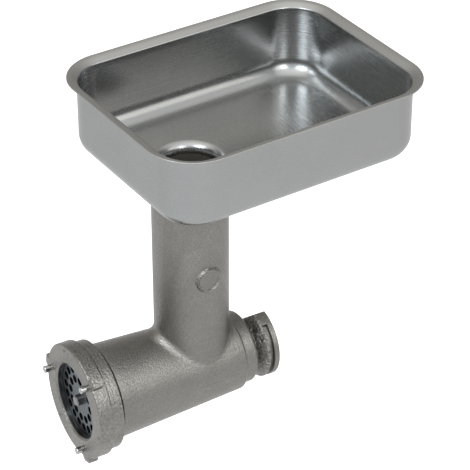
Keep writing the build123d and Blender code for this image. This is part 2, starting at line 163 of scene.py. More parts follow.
class Shell:
    """One mesh made of grids of points, welded where the grids share their edges."""

    def __init__(self, name: str) -> None:
        """Start an empty shell.

        Args:
            name: name of its piece.
        """
        self.name = name
        self._points: List[np.ndarray] = []
        self._faces: List[np.ndarray] = []
        self._uvs: List[np.ndarray] = []
        self._count = 0

    def add(self, grid: Grid, wrap: bool = False, uv: Optional[np.ndarray] = None) -> "Shell":
        """Add a grid of quads.

        Args:
            grid: (n, m, 3) points in millimetres.
            wrap: whether the last column joins the first.
            uv: (n, m, 2) texture coordinates, one for each point.

        Returns:
            The shell, so that calls can follow each other.
        """
        rows, columns = grid.shape[:2]
        index = np.arange(rows * columns).reshape(rows, columns) + self._count
        if wrap:
            index = np.concatenate([index, index[:, :1]], 1)
        quads = np.stack([index[:-1, :-1], index[:-1, 1:], index[1:, 1:], index[1:, :-1]], 2)
        self._points.append(grid.reshape(-1, 3))
        self._faces.append(quads.reshape(-1, 4))
        self._uvs.append((np.zeros((rows, columns, 2)) if uv is None else uv).reshape(-1, 2))
        self._count += rows * columns
        return self

    def build(self, edge_angle: float = 32.0) -> bpy.types.Object:
        """Make the object: weld, turn the faces outwards, shade smooth between sharp edges.

        Args:
            edge_angle: angle in degrees past which an edge is shaded sharp.

        Returns:
            The new object, in metres, at the origin.
        """
        points = np.concatenate(self._points) * MM
        faces = np.concatenate(self._faces)
        mesh = bpy.data.meshes.new(self.name)
        mesh.from_pydata(points, [], faces)
        layer = mesh.uv_layers.new(name="surface")
        uv = np.concatenate(self._uvs)[faces.reshape(-1)]
        layer.data.foreach_set("uv", uv.astype(np.float32).reshape(-1))
        work = bmesh.new()
        work.from_mesh(mesh)
        bmesh.ops.remove_doubles(work, verts=work.verts, dist=WELD)
        bmesh.ops.dissolve_degenerate(work, edges=work.edges, dist=WELD / 2)
        bmesh.ops.recalc_face_normals(work, faces=work.faces)
        loose = [v for v in work.verts if not v.link_faces]
        bmesh.ops.delete(work, geom=loose, context="VERTS")
        work.to_mesh(mesh)
        work.free()
        piece = bpy.data.objects.new(self.name, mesh)
        bpy.context.scene.collection.objects.link(piece)
        bpy.context.view_layer.objects.active = piece
        piece.select_set(True)
        bpy.ops.object.shade_smooth_by_angle(angle=math.radians(edge_angle))
        piece.select_set(False)
        return piece


def place(
    piece: bpy.types.Object, body: str, nodes: Sequence[str], finish: bpy.types.Material
) -> None:
    """Dress a piece, let it ride on its body and stand for its nodes, and report it.

    Args:
        piece: the new piece.
        body: the body of the frame that it rides on.
        nodes: the CAD nodes that it stands for.
        finish: its material.
    """
    piece.data.materials.clear()
    piece.data.materials.append(finish)
    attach(piece, body)
    if nodes:
        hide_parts(*nodes)
    LOG.info("%s: %d faces, rides on %s", piece.name, len(piece.data.polygons), body)


def dress_part(
    piece: bpy.types.Object, finish: bpy.types.Material, inside: Callable[..., np.ndarray]
) -> None:
    """Give a second finish to the faces whose centres, in millimetres, pass a test.

    Args:
        piece: the piece, already dressed in its first finish.
        finish: the second finish.
        inside: function of the centres' x, y and z that is true on the faces to change.
    """
    piece.data.materials.append(finish)
    centres = np.empty(3 * len(piece.data.polygons))
    piece.data.polygons.foreach_get("center", centres)
    chosen = inside(*(centres.reshape(-1, 3).T / MM))
    index = np.empty(len(chosen), np.int32)
    piece.data.polygons.foreach_get("material_index", index)
    index[chosen] = len(piece.data.materials) - 1
    piece.data.polygons.foreach_set("material_index", index)


# --------------------------------------------------------------------- shader building
Colour = Tuple[float, ...]
Socket = bpy.types.NodeSocket
Input = Union[float, Colour, Socket]
WHITE = (1.0, 1.0, 1.0, 1.0)


class Wiring:
    """Short calls for adding and joining the nodes of one node tree."""

    def __init__(self, tree: bpy.types.NodeTree) -> None:
        """Work on the given tree."""
        self.tree = tree

    def node(self, kind: str, inputs: Optional[Dict] = None, **settings: object) -> bpy.types.Node:
        """Add a node.

        Args:
            kind: Blender's type name of the node.
            inputs: socket name or number to a value, or to a socket to link from.
            settings: attributes of the node.

        Returns:
            The new node.
        """
        node = self.tree.nodes.new(kind)
        for key, value in settings.items():
            setattr(node, key, value)
        self.feed(node, inputs or {})
        return node

    def feed(self, node: bpy.types.Node, inputs: Dict) -> None:
        """Set or link some inputs of a node.

        Args:
            node: the node.
            inputs: socket name or number to a value, or to a socket to link from.
        """
        for key, value in inputs.items():
            if isinstance(value, Socket):
                self.tree.links.new(value, node.inputs[key])
            else:
                node.inputs[key].default_value = value

    def effect(self, group: bpy.types.NodeTree, inputs: Dict) -> bpy.types.Node:
        """Place one of the shared groups with its own values."""
        return self.node("ShaderNodeGroup", inputs, node_tree=group)

    def maths(self, operation: str, *values: Input) -> Socket:
        """Result of a Math node on one to three values or sockets."""
        return self.node("ShaderNodeMath", dict(enumerate(values)), operation=operation).outputs[0]

    def remap(self, value: Input, low: float, high: float, to_low: float, to_high: float) -> Socket:
        """Value carried linearly from one range to another and clamped there."""
        inputs = {0: value, 1: low, 2: high, 3: to_low, 4: to_high}
        return self.node("ShaderNodeMapRange", inputs).outputs[0]

    def noise(self, vector: Socket, scale: Input, detail: float = 3.0, roughness: float = 0.55) -> Socket:
        """Height of a noise pattern, about 0 to 1."""
        inputs = {"Vector": vector, "Scale": scale, "Detail": detail, "Roughness": roughness}
        return self.node("ShaderNodeTexNoise", inputs).outputs[0]

    def mix(self, factor: Input, first: Input, second: Input, blend: str = "MIX") -> Socket:
        """Colour between two colours, or another blend of them."""
        inputs = {0: factor, 6: first, 7: second}
        return self.node("ShaderNodeMix", inputs, data_type="RGBA", blend_type=blend).outputs[2]

    def bump(self, height: Socket, depth: float, normal: Optional[Socket] = None) -> Socket:
        """Relief of some depth, on top of another normal.

        Args:
            height: the relief's height, 0 to 1.
            depth: how deep it is in millimetres.
            normal: the normal to raise it on, the surface's own if there is none.

        Returns:
            The new normal.
        """
        inputs = {"Strength": 1.0, "Distance": depth * MM, "Height": height}
        if normal is not None:
            inputs["Normal"] = normal
        return self.node("ShaderNodeBump", inputs).outputs[0]

    def parts(self, vector: Socket) -> Tuple[Socket, ...]:
        """The x, y and z of a vector."""
        return tuple(self.node("ShaderNodeSeparateXYZ", {0: vector}).outputs)

    def vector(self, x: Input, y: Input, z: Input) -> Socket:
        """Vector of three values or sockets."""
        return self.node("ShaderNodeCombineXYZ", {0: x, 1: y, 2: z}).outputs[0]


def new_group(
    name: str, inputs: Dict[str, Optional[Input]], outputs: Sequence[str]
) -> Tuple[Wiring, Dict[str, Socket], bpy.types.Node]:
    """Start a shader node group with named sockets.

    Args:
        name: name of the group.
        inputs: socket name to its default; None makes a vector socket.
        outputs: names of the values that it puts out.

    Returns:
        The wiring of its tree, the input sockets by name and the output node.
    """
    tree = bpy.data.node_groups.new(name, "ShaderNodeTree")
    for key, default in inputs.items():
        kind = "NodeSocketVector" if default is None else "NodeSocketFloat"
        socket = tree.interface.new_socket(name=key, in_out="INPUT", socket_type=kind)
        if default is not None:
            socket.default_value = default
    for key in outputs:
        tree.interface.new_socket(name=key, in_out="OUTPUT", socket_type="NodeSocketFloat")
    wiring = Wiring(tree)
    entry = wiring.node("NodeGroupInput")
    leave = wiring.node("NodeGroupOutput")
    return wiring, {key: entry.outputs[key] for key in inputs}, leave


def new_material(name: str) -> Tuple[bpy.types.Material, Wiring]:
    """Start a material without nodes.

    Args:
        name: name of the material.

    Returns:
        The material and the wiring of its tree.
    """
    material = bpy.data.materials.new(name)
    material.use_nodes = True
    material.node_tree.nodes.clear()
    return material, Wiring(material.node_tree)


class Effects:
    """Node groups that several finishes share, each built once."""

    def __init__(self) -> None:
        """Build the groups."""
        self.cast_grain = self._cast_grain()
        self.brushed_lines = self._brushed_lines()
        self.stain = self._stain()

    def _cast_grain(self) -> bpy.types.NodeTree:
        """Skin of a sand casting: fine grain, scattered pits and soft waves.

        The height is a fine noise plus a share of a coarse one, less a share of the middles
        of small Voronoi cells, which count only where a broad noise is high. The pits, the
        coarse noise and the fine noise also come out by themselves.

        Returns:
            The group.
        """
        w, given, out = new_group(
            "cast_grain",
            {"Vector": None, "Grain Size": 900.0, "Pit Size": 260.0, "Pit Share": 0.25, "Wave Share": 0.4},
            ("Height", "Pits", "Cloud", "Speck"),
        )
        vector = given["Vector"]
        fine = w.noise(vector, given["Grain Size"], 3.0, 0.6)
        wave = w.noise(vector, 55.0, 4.0, 0.5)
        scattered = {"Vector": vector, "Scale": given["Pit Size"], "Randomness": 1.0}
        cells = w.node("ShaderNodeTexVoronoi", scattered)
        middles = w.remap(cells.outputs["Distance"], 0.12, 0.34, 1.0, 0.0)
        rare = w.remap(w.noise(vector, 38.0, 2.0), 0.45, 0.62, 0.0, 1.0)
        pits = w.maths("MULTIPLY", middles, rare)
        height = w.maths("MULTIPLY_ADD", wave, given["Wave Share"], fine)
        height = w.maths("SUBTRACT", height, w.maths("MULTIPLY", pits, given["Pit Share"]))
        speck = w.remap(fine, 0.36, 0.64, 0.0, 1.0)
        w.feed(out, {"Height": height, "Pits": pits, "Cloud": wave, "Speck": speck})
        return w.tree

    def _brushed_lines(self) -> bpy.types.NodeTree:
        """Fine parallel polishing lines: noise drawn out along the first coordinate.

        Returns:
            The group.
        """
        w, given, out = new_group(
            "brushed_lines",
            {"Vector": None, "Along": 14.0, "Across": 1600.0, "Contrast": 1.0},
            ("Height", "Tone"),
        )
        stretch = (given["Along"], given["Across"], given["Across"])
        drawn = w.vector(*(w.maths("MULTIPLY", p, s) for p, s in zip(w.parts(given["Vector"]), stretch)))
        line = w.noise(drawn, 1.0, 4.0, 0.65)
        tone = w.maths("MULTIPLY_ADD", w.maths("SUBTRACT", line, 0.5), given["Contrast"], 0.5)
        w.feed(out, {"Height": line, "Tone": tone})
        return w.tree

    def _stain(self) -> bpy.types.NodeTree:
        """Soft uneven tone of handled metal: a broad noise times a finer one.

        Returns:
            The group.
        """
        w, given, out = new_group("stain", {"Vector": None, "Size": 18.0, "Amount": 0.3}, ("Mask",))
        broad = w.remap(w.noise(given["Vector"], given["Size"], 5.0, 0.6), 0.38, 0.68, 0.0, 1.0)
        fine = w.remap(w.noise(given["Vector"], 210.0), 0.2, 0.8, 0.6, 1.0)
        mask = w.maths("MULTIPLY", w.maths("MULTIPLY", broad, fine), given["Amount"])
        w.feed(out, {"Mask": mask})
        return w.tree


class Direction(Enum):
    """Which way the polishing lines of a finish run."""

    SURFACE = "surface"
    ROUND_BARREL = "round_barrel"
    ALONG_BARREL = "along_barrel"
    ALONG_Z = "along_z"


@dataclass(frozen=True)
class MetalFinish:
    """A metal surface: its colour, gloss, grain and polishing lines.

    The grain and the lines are depths in millimetres, and none is made where it is 0.
    """

    name: str
    colour: Colour
    dark: Colour
    roughness: float
    grain: float = 0.0
    grain_size: float = 900.0
    pits: float = 0.25
    pit_spread: float = 0.3
    pit_shade: float = 0.35
    cloud_shade: float = 0.3
    speck: float = 0.35
    lines: float = 0.0
    line_across: float = 1600.0
    line_along: float = 14.0
    line_tone: float = 0.28
    line_gloss: float = 0.18
    direction: Direction = Direction.SURFACE
    stain: float = 0.3
    roughness_spread: float = 0.08

    def make(self, effects: Effects) -> bpy.types.Material:
        """Build the material from the shared groups.

        Args:
            effects: the shared node groups.

        Returns:
            The material.
        """
        material, w = new_material(self.name)
        coordinates = w.node("ShaderNodeTexCoord")
        vector = coordinates.outputs["Object"]
        mask = w.effect(effects.stain, {"Vector": vector, "Amount": self.stain}).outputs["Mask"]
        colour = w.mix(mask, self.colour + (1.0,), self.dark + (1.0,))
        spread = self.roughness_spread
        gloss = w.remap(mask, 0.0, 1.0, self.roughness - spread, self.roughness + 2 * spread)
        normal = None
        if self.grain > 0:
            colour, normal = self._grained(w, effects, vector, colour)
        if self.lines > 0:
            colour, gloss, normal = self._lined(w, effects, coordinates, colour, gloss, normal)
        inputs = {"Base Color": colour, "Metallic": 1.0, "Roughness": gloss}
        if normal is not None:
            inputs["Normal"] = normal
        surface = w.node("ShaderNodeBsdfPrincipled", inputs)
        w.node("ShaderNodeOutputMaterial", {"Surface": surface.outputs[0]})
        return material

    def _grained(
        self, w: Wiring, effects: Effects, vector: Socket, colour: Socket
    ) -> Tuple[Socket, Socket]:
        """Darken the pits, clouds and specks of a casting's skin and raise its grain.

        Args:
            w: the material's wiring.
            effects: the shared node groups.
            vector: the object's coordinates.
            colour: the colour so far.

        Returns:
            The new colour and the normal.
        """
        inputs = {"Vector": vector, "Grain Size": self.grain_size, "Pit Share": self.pits}
        inputs["Pit Size"] = self.grain_size * self.pit_spread
        grain = w.effect(effects.cast_grain, inputs).outputs
        shades = (
            w.maths("MULTIPLY", grain["Pits"], self.pit_shade),
            w.remap(grain["Cloud"], 0.3, 0.7, 0.0, self.cloud_shade),
            w.maths("MULTIPLY", grain["Speck"], self.speck),
        )
        for shade in shades:
            colour = w.mix(shade, colour, self.dark + (1.0,))
        return colour, w.bump(grain["Height"], self.grain)

    def _lined(
        self,
        w: Wiring,
        effects: Effects,
        coordinates: bpy.types.Node,
        colour: Socket,
        gloss: Socket,
        normal: Optional[Socket],
    ) -> Tuple[Socket, Socket, Socket]:
        """Draw the polishing lines into the colour, the gloss and the normal.

        Args:
            w: the material's wiring.
            effects: the shared node groups.
            coordinates: the texture coordinates.
            colour: the colour so far.
            gloss: the roughness so far.
            normal: the normal so far, if there is one.

        Returns:
            The new colour, roughness and normal.
        """
        inputs = {"Vector": self._line_vector(w, coordinates)}
        inputs.update({"Along": self.line_along, "Across": self.line_across, "Contrast": 1.0})
        brushed = w.effect(effects.brushed_lines, inputs).outputs
        tone = w.remap(brushed["Tone"], 0.3, 0.7, 0.0, self.line_tone)
        colour = w.mix(tone, colour, self.dark + (1.0,))
        uneven = w.maths("SUBTRACT", brushed["Tone"], 0.5)
        gloss = w.maths("MULTIPLY_ADD", uneven, self.line_gloss, gloss)
        return colour, gloss, w.bump(brushed["Height"], self.lines, normal)

    def _line_vector(self, w: Wiring, coordinates: bpy.types.Node) -> Socket:
        """Coordinates whose first part runs the way of the lines.

        Round the barrel they are (0.03 times the angle, y, radius), along it (y, 0.037 times
        the angle, 0), which is the arc on its outside, and along Z the axes are turned a
        quarter about Y. On a surface they are the piece's own UV map.

        Args:
            w: the material's wiring.
            coordinates: the texture coordinates.

        Returns:
            The vector.
        """
        if self.direction is Direction.SURFACE:
            return coordinates.outputs["UV"]
        vector = coordinates.outputs["Object"]
        if self.direction is Direction.ALONG_Z:
            turned = w.node("ShaderNodeMapping", {"Vector": vector, "Rotation": (0.0, math.pi / 2, 0.0)})
            return turned.outputs[0]
        x, y, z = w.parts(vector)
        angle = w.maths("ARCTAN2", z, x)
        if self.direction is Direction.ALONG_BARREL:
            return w.vector(y, w.maths("MULTIPLY", angle, 0.037), 0.0)
        square = w.maths("ADD", w.maths("MULTIPLY", x, x), w.maths("MULTIPLY", z, z))
        return w.vector(w.maths("MULTIPLY", angle, 0.03), y, w.maths("SQRT", square))


@dataclass(frozen=True)
class PlainFinish:
    """A turned bronze or a moulded plastic without polishing lines."""

    name: str
    colour: Colour
    dark: Colour
    roughness: float
    metallic: float
    stain: float = 0.5
    grain: float = 0.02
    grain_size: float = 900.0

    def make(self, effects: Effects) -> bpy.types.Material:
        """Build the material: stained colour, uneven gloss and a faint grain.

        Args:
            effects: the shared node groups.

        Returns:
            The material.
        """
        material, w = new_material(self.name)
        vector = w.node("ShaderNodeTexCoord").outputs["Object"]
        mask = w.effect(effects.stain, {"Vector": vector, "Amount": self.stain}).outputs["Mask"]
        inputs = {
            "Base Color": w.mix(mask, self.colour + (1.0,), self.dark + (1.0,)),
            "Metallic": self.metallic,
            "Roughness": w.remap(mask, 0.0, 1.0, self.roughness - 0.05, self.roughness + 0.1),
            "Normal": w.bump(w.noise(vector, self.grain_size), self.grain),
        }
        surface = w.node("ShaderNodeBsdfPrincipled", inputs)
        w.node("ShaderNodeOutputMaterial", {"Surface": surface.outputs[0]})
        return material


CAST_BODY = MetalFinish(
    "cast_body_finish", (0.31, 0.2965, 0.274), (0.175, 0.167, 0.153), 0.40,
    grain=0.5, grain_size=760.0, speck=0.75,
    lines=0.03, line_across=900.0, line_along=9.0, line_tone=0.4, direction=Direction.ALONG_BARREL,
)
CAST_RING = MetalFinish(
    "cast_ring_finish", (0.312, 0.30, 0.278), (0.145, 0.138, 0.126), 0.40,
    grain=0.6, grain_size=560.0, pits=0.6, speck=0.75,
)
# painted light: lighter colour standing in for light in the groove's shade; the rougher, pitted grain is
# the real skin
ROUGH_GROOVE_PAINTED_LIGHT = MetalFinish(
    "rough_groove_painted_light", (0.40, 0.382, 0.352), (0.12, 0.115, 0.105), 0.48,
    grain=1.2, grain_size=560.0, pits=0.9, speck=0.9,
)
# painted light: lighter colour standing in for light inside the neck's bore
NECK_BORE_PAINTED_LIGHT = MetalFinish("neck_bore_painted_light", (0.52, 0.50, 0.46), (0.36, 0.345, 0.32), 0.5, grain=0.08)
RING_BORE = MetalFinish(
    "ring_bore_finish", (0.20, 0.20, 0.195), (0.12, 0.12, 0.115), 0.35,
    lines=0.01, direction=Direction.ROUND_BARREL,
)
TRAY_STEEL = MetalFinish(
    "tray_steel_finish", (0.338, 0.341, 0.335), (0.262, 0.264, 0.259), 0.325,
    lines=0.0025, stain=0.25, line_across=2200.0, line_along=8.0, line_tone=0.2,
)
RIM_STEEL = MetalFinish(
    "rim_steel_finish", (0.37, 0.365, 0.35), (0.30, 0.297, 0.285), 0.56,
    lines=0.006, line_across=2200.0, line_along=8.0, line_tone=0.35,
)
# painted light: lighter colour standing in for light inside the spigot; its turning lines are real
SPIGOT_INSIDE_PAINTED_LIGHT = MetalFinish(
    "spigot_inside_painted_light", (0.56, 0.54, 0.50), (0.40, 0.385, 0.355), 0.48, lines=0.01, line_across=1500.0
)
PLATE_STEEL = MetalFinish(
    "plate_steel_finish", (0.10, 0.113, 0.122), (0.065, 0.074, 0.082), 0.36,
    lines=0.01, direction=Direction.ROUND_BARREL,
)
BRIGHT_STEEL = MetalFinish(
    "bright_steel_finish", (0.48, 0.475, 0.46), (0.26, 0.255, 0.245), 0.22,
    lines=0.006, direction=Direction.ROUND_BARREL,
)
SPINDLE_STEEL = MetalFinish(
    "spindle_steel_finish", (0.24, 0.237, 0.23), (0.13, 0.13, 0.125), 0.30,
    lines=0.012, direction=Direction.ROUND_BARREL,
)
KNIFE_STEEL = MetalFinish(
    "knife_steel_finish", (0.55, 0.56, 0.57), (0.40, 0.41, 0.42), 0.28,
    lines=0.01, direction=Direction.ALONG_Z,
)
SCREW_STEEL = MetalFinish("screw_steel_finish", (0.52, 0.51, 0.48), (0.36, 0.35, 0.33), 0.36, grain=0.12)
BUSH_BRONZE = PlainFinish("bush_bronze_finish", (0.60, 0.42, 0.20), (0.42, 0.27, 0.12), 0.35, 1.0)
WASHER_PLASTIC = PlainFinish("washer_plastic_finish", (0.82, 0.80, 0.75), (0.70, 0.67, 0.60), 0.45, 0.0)


# --------------------------------------------------------------------- casting
@dataclass
class SaddleCut:
    """Where an upright tube meets a lying one, as rings of points between two outlines.

    The lying tube's surface is unrolled to (arc, y). Its part round the upright tube is a
    ring of straight spokes from a rectangle of whole grid cells to the foot of that tube.
    """

    tube_radius: float
    lying_radius: Callable[[np.ndarray], np.ndarray]
    axis_y: float
    columns: int
    half_columns: int
    front_y: float
    rear_y: float
    rows: int
    fillet: Callable[[np.ndarray], np.ndarray]
    spokes: int = 9
    fillet_steps: int = 10
    halvings: int = 40
    samples: int = 2881

    def rectangle(self) -> Tuple[np.ndarray, np.ndarray]:
        """Angle about the barrel and y of the rectangle's outline, once round.

        Returns:
            The angles and the y of its points.
        """
        step = TAU / self.columns
        middle, half = self.columns // 4, self.half_columns
        low, high = (middle - half) * step, (middle + half) * step
        across = np.linspace(low, high, 2 * half + 1)
        along = np.linspace(self.rear_y, self.front_y, self.rows + 1)
        phi = [np.full(self.rows, low), across[:-1], np.full(self.rows, high), across[:0:-1]]
        y = [along[:-1], np.full(2 * half, self.front_y), along[:0:-1], np.full(2 * half, self.rear_y)]
        return np.concatenate(phi), np.concatenate(y)

    def foot(self, theta: np.ndarray) -> Tuple[np.ndarray, np.ndarray, np.ndarray, np.ndarray]:
        """Foot of the fillet in the upright plane through each direction.

        The foot is where the lying surface's normal, one fillet radius long, ends one
        fillet radius outside the upright tube. Found by halving the interval.

        Args:
            theta: directions in plan, from +X towards +Y.

        Returns:
            Distance from the upright axis, height, and the normal's two parts.
        """
        c, s, r = np.cos(theta), np.sin(theta), self.fillet(theta)

        def height(rho: np.ndarray) -> np.ndarray:
            """Height of the lying surface: sqrt(R^2 - x^2)."""
            lying = self.lying_radius(self.axis_y + rho * s)
            return np.sqrt(np.maximum(lying ** 2 - (rho * c) ** 2, 1e-9))

        def normal(rho: np.ndarray) -> Tuple[np.ndarray, np.ndarray]:
            """Direction square to the surface, from its slope over 2 micrometres.

            Args:
                rho: distances from the tube's axis.

            Returns:
                Its outward and its upward part.
            """
            slope = (height(rho + 1e-3) - height(rho - 1e-3)) / 2e-3
            size = np.sqrt(1.0 + slope ** 2)
            return -slope / size, 1.0 / size

        low = np.full_like(theta, self.tube_radius)
        side = self.lying_radius(self.axis_y + 0 * theta) / np.maximum(np.abs(c), 1e-6) * 0.995
        high = np.minimum(self.tube_radius + 1.3 * r, np.maximum(side, low + 1e-3))
        for _ in range(self.halvings):
            mid = 0.5 * (low + high)
            inside = mid + r * normal(mid)[0] < self.tube_radius + r
            low, high = np.where(inside, mid, low), np.where(inside, high, mid)
        rho = 0.5 * (low + high)
        across, up = normal(rho)
        return rho, height(rho), across, up

    def _directions(self, phi: np.ndarray, y: np.ndarray) -> np.ndarray:
        """Plan directions whose feet lie, unrolled, straight inwards of the rectangle's points.

        Args:
            phi: angles of the rectangle's points about the barrel.
            y: their y.

        Returns:
            The directions, from +X towards +Y.
        """
        dense = np.linspace(-math.pi, math.pi, self.samples)
        rho, z, _, _ = self.foot(dense)
        mean = float(self.lying_radius(np.array([self.axis_y]))[0])
        foot_phi = np.arctan2(z, rho * np.cos(dense))
        around = np.unwrap(np.arctan2(rho * np.sin(dense), mean * (math.pi / 2 - foot_phi)))
        wanted = np.arctan2(y - self.axis_y, mean * (math.pi / 2 - phi))
        return np.interp((wanted - around[0]) % TAU + around[0], around, dense)

    def solve(self) -> Tuple[np.ndarray, Grid, Grid]:
        """Directions, the spokes on the lying tube, and the fillet up to the upright tube.

        The fillet turns evenly about a centre that lies one radius along the foot's normal.

        Returns:
            Plan directions of the outline's points, the grid of spokes from the rectangle
            to the foot, and the grid of the fillet from the foot up to the upright tube.
        """
        phi, y = self.rectangle()
        theta = self._directions(phi, y)
        rho, z, across, up = self.foot(theta)
        foot_phi, foot_y = np.arctan2(z, rho * np.cos(theta)), self.axis_y + rho * np.sin(theta)
        t = (np.linspace(0.0, 1.0, self.spokes + 1) ** 0.8)[:, None]
        grid_y = y + (foot_y - y) * t
        spokes = round_barrel(grid_y, self.lying_radius(grid_y), phi + (foot_phi - phi) * t)
        r = self.fillet(theta)
        start = np.arctan2(-up, -across)
        start = np.where(start > 0, start - TAU, start)
        angle = start + (-math.pi - start) * np.linspace(0.0, 1.0, self.fillet_steps + 1)[:, None]
        out = self.tube_radius + r + r * np.cos(angle)
        return theta, spokes, round_neck(self.axis_y, out, theta, z + r * up + r * np.sin(angle))


@dataclass
class Casting:
    """Barrel, feed neck and rear coupling, one casting with all its bores."""

    columns: int = 224
    # neck
    neck_y: float = -69.0
    neck_radius: float = 32.0
    neck_bore_radius: float = 26.0
    neck_height: float = 201.0
    neck_lead_in: float = 3.0
    neck_fillet: float = 9.0
    bore_fillet: float = 0.6
    medallion_radius: float = 11.6
    medallion_height: float = 103.5
    medallion_proud: float = 2.0
    medallion_band: float = 13.0
    medallion_draft: float = 0.35
    medallion_border: float = 1.3
    medallion_disc: float = 0.35
    wall_rows: Tuple[int, int, int] = (5, 45, 6)
    bore_rows: int = 7
    # barrel
    shoulder_y: float = -33.0
    barrel_front_radius: float = 41.6
    barrel_rear_radius: float = 34.4
    barrel_bore_radius: float = 31.0
    barrel_overrun: float = 20.0
    bore_end_y: float = -36.0
    shaft_bore_radius: float = 14.0
    rifle_count: int = 8
    rifle_radius: float = 2.5
    rifle_depth: float = 1.4
    # front end, under the ring nut
    ring_rear_y: float = -158.5
    nose_y: float = -174.4
    relief_half: float = 3.0
    relief_radius: float = 39.5
    ridge_radius: float = 40.9
    ridge_rear: float = 1.9
    ridge_front: float = 1.0
    ridge_draft: float = 0.1
    thread_radius: float = 41.5
    thread_pitch: float = 4.0
    thread_depth: float = 0.9
    thread_step: float = 0.5
    thread_run_out: float = 1.5
    nose_edge: float = 0.4
    plate_seat_radius: float = 35.25
    plate_seat_y: float = -168.4
    knife_bore_radius: float = 33.0
    knife_bore_y: float = -159.2
    # rear coupling
    coupling_radius: float = 32.0
    groove_radius: float = 22.0
    groove_lean: float = 6.0
    boss_end_y: float = -20.5
    flange_front_y: float = -11.0
    flat_distance: float = 21.0
    flat_angle: float = 130.0
    grub_angle: float = 60.0
    grub_hole_radius: float = 3.1
    grub_hole_floor: float = 20.3
    channel_front_y: float = -9.0
    channel_rear_y: float = -5.0
    channel_depth: float = 3.4
    channel_start: float = 58.0
    channel_arc: float = 240.0
    # ends of the two saddles along the barrel
    outer_rear_y: float = -35.4
    outer_front_y: float = -124.0
    inner_rear_y: float = -38.0
    inner_front_y: float = -106.0

    def radius_at(self, y: np.ndarray) -> np.ndarray:
        """Outer radius of the tapered barrel: a straight line in y.

        Args:
            y: places along the barrel.

        Returns:
            The radius at each.
        """
        rear = self.shoulder_y + self.barrel_overrun
        share = (rear - y) / (rear - self.ring_rear_y)
        return self.barrel_rear_radius + (self.barrel_front_radius - self.barrel_rear_radius) * share

    def bore_at(self, y: np.ndarray) -> np.ndarray:
        """Radius of the screw chamber, the same everywhere."""
        return self.barrel_bore_radius + 0.0 * y

    def _fillet(self, theta: np.ndarray) -> np.ndarray:
        """Fillet radius, smaller behind the neck where the shoulder leaves less room.

        It is the soft minimum -log(exp(-a) + exp(-b)) of the full radius and the room.

        Args:
            theta: directions in plan, from +X towards +Y.

        Returns:
            The radius in each direction.
        """
        room = (self.outer_rear_y - 0.2 - self.neck_y) / np.maximum(np.sin(theta), 1e-3) - self.neck_radius
        room = np.maximum(room, 0.8)
        return -np.log(np.exp(-self.neck_fillet) + np.exp(-np.minimum(room, 60.0)))

    def _outer(self) -> SaddleCut:
        """Neck on the outside of the barrel.

        Returns:
            The cut of the two.
        """
        return SaddleCut(
            tube_radius=self.neck_radius, lying_radius=self.radius_at, axis_y=self.neck_y,
            columns=self.columns, half_columns=52, rows=42,
            front_y=self.outer_front_y, rear_y=self.outer_rear_y, fillet=self._fillet,
        )

    def _inner(self) -> SaddleCut:
        """Neck bore in the wall of the screw chamber, with the same number of points round.

        Returns:
            The cut of the two.
        """
        return SaddleCut(
            tube_radius=self.neck_bore_radius, lying_radius=self.bore_at, axis_y=self.neck_y,
            columns=self.columns, half_columns=45, rows=56,
            front_y=self.inner_front_y, rear_y=self.inner_rear_y,
            fillet=lambda theta: self.bore_fillet + 0.0 * theta,
        )

    def _medallion(self, theta: np.ndarray, z: np.ndarray) -> np.ndarray:
        """Height of the plain medallion above the neck: a disc with a raised border.

        Args:
            theta: directions in plan, from +X towards +Y.
            z: heights.

        Returns:
            The height above the neck at each point.
        """
        away = np.hypot(self.neck_radius * off_angle(theta, 0.0), z - self.medallion_height)
        past_edge = away - self.medallion_radius
        disc = 1.0 - smoothstep(-self.medallion_draft, self.medallion_draft, past_edge)
        border = 1.0 - smoothstep(0.55, 1.2, np.abs(past_edge + self.medallion_border))
        share = self.medallion_disc
        return self.medallion_proud * (share * disc + (1.0 - share) * border)

    def _neck_wall(self, theta: np.ndarray, foot: np.ndarray) -> Grid:
        """Outside of the neck: rows that lie closer together across the medallion.

        Args:
            theta: directions in plan of the columns.
            foot: heights at which the fillet ends.

        Returns:
            Grid from the fillet up to the mouth's edge.
        """
        low, high = self.medallion_height - self.medallion_band, self.medallion_height + self.medallion_band
        below, across, above = self.wall_rows
        rows = [foot + (low - foot) * t for t in np.linspace(0.0, 1.0, below + 1)[1:]]
        levels = (
            np.linspace(low, high, across + 1)[1:],
            np.linspace(high, self.neck_height - 0.5, above + 1)[1:],
        )
        rows += [np.full_like(foot, level) for level in np.concatenate(levels)]
        z = np.stack(rows)
        return round_neck(self.neck_y, self.neck_radius + self._medallion(theta + 0.0 * z, z), theta, z)

    def _mouth(self, theta: np.ndarray, theta_in: np.ndarray) -> Grid:
        """Rim of the neck with its lead-in, whose directions pass evenly into the bore's.

        Args:
            theta: directions in plan of the outside's columns.
            theta_in: directions in plan of the bore's columns.

        Returns:
            Grid from the outside over the rim into the bore.
        """
        top, bore = self.neck_height, self.neck_bore_radius
        line = rounded_profile(
            [
                (top - 0.5, self.neck_radius, 0.0),
                (top, self.neck_radius, 0.49),
                (top, bore + self.neck_lead_in, 0.4),
                (top - self.neck_lead_in, bore, 0.6),
                (top - 2.0 * self.neck_lead_in, bore, 0.0),
            ]
        )
        share = np.linspace(0.0, 1.0, len(line))[:, None]
        turned = np.unwrap(np.concatenate([theta, theta[:1]]))[:-1]
        turned_in = np.unwrap(np.concatenate([theta_in, theta_in[:1]]))[:-1]
        turned_in += TAU * round(float((turned - turned_in).mean()) / TAU)
        return round_neck(self.neck_y, line[:, 1:], turned + (turned_in - turned) * share, line[:, :1])

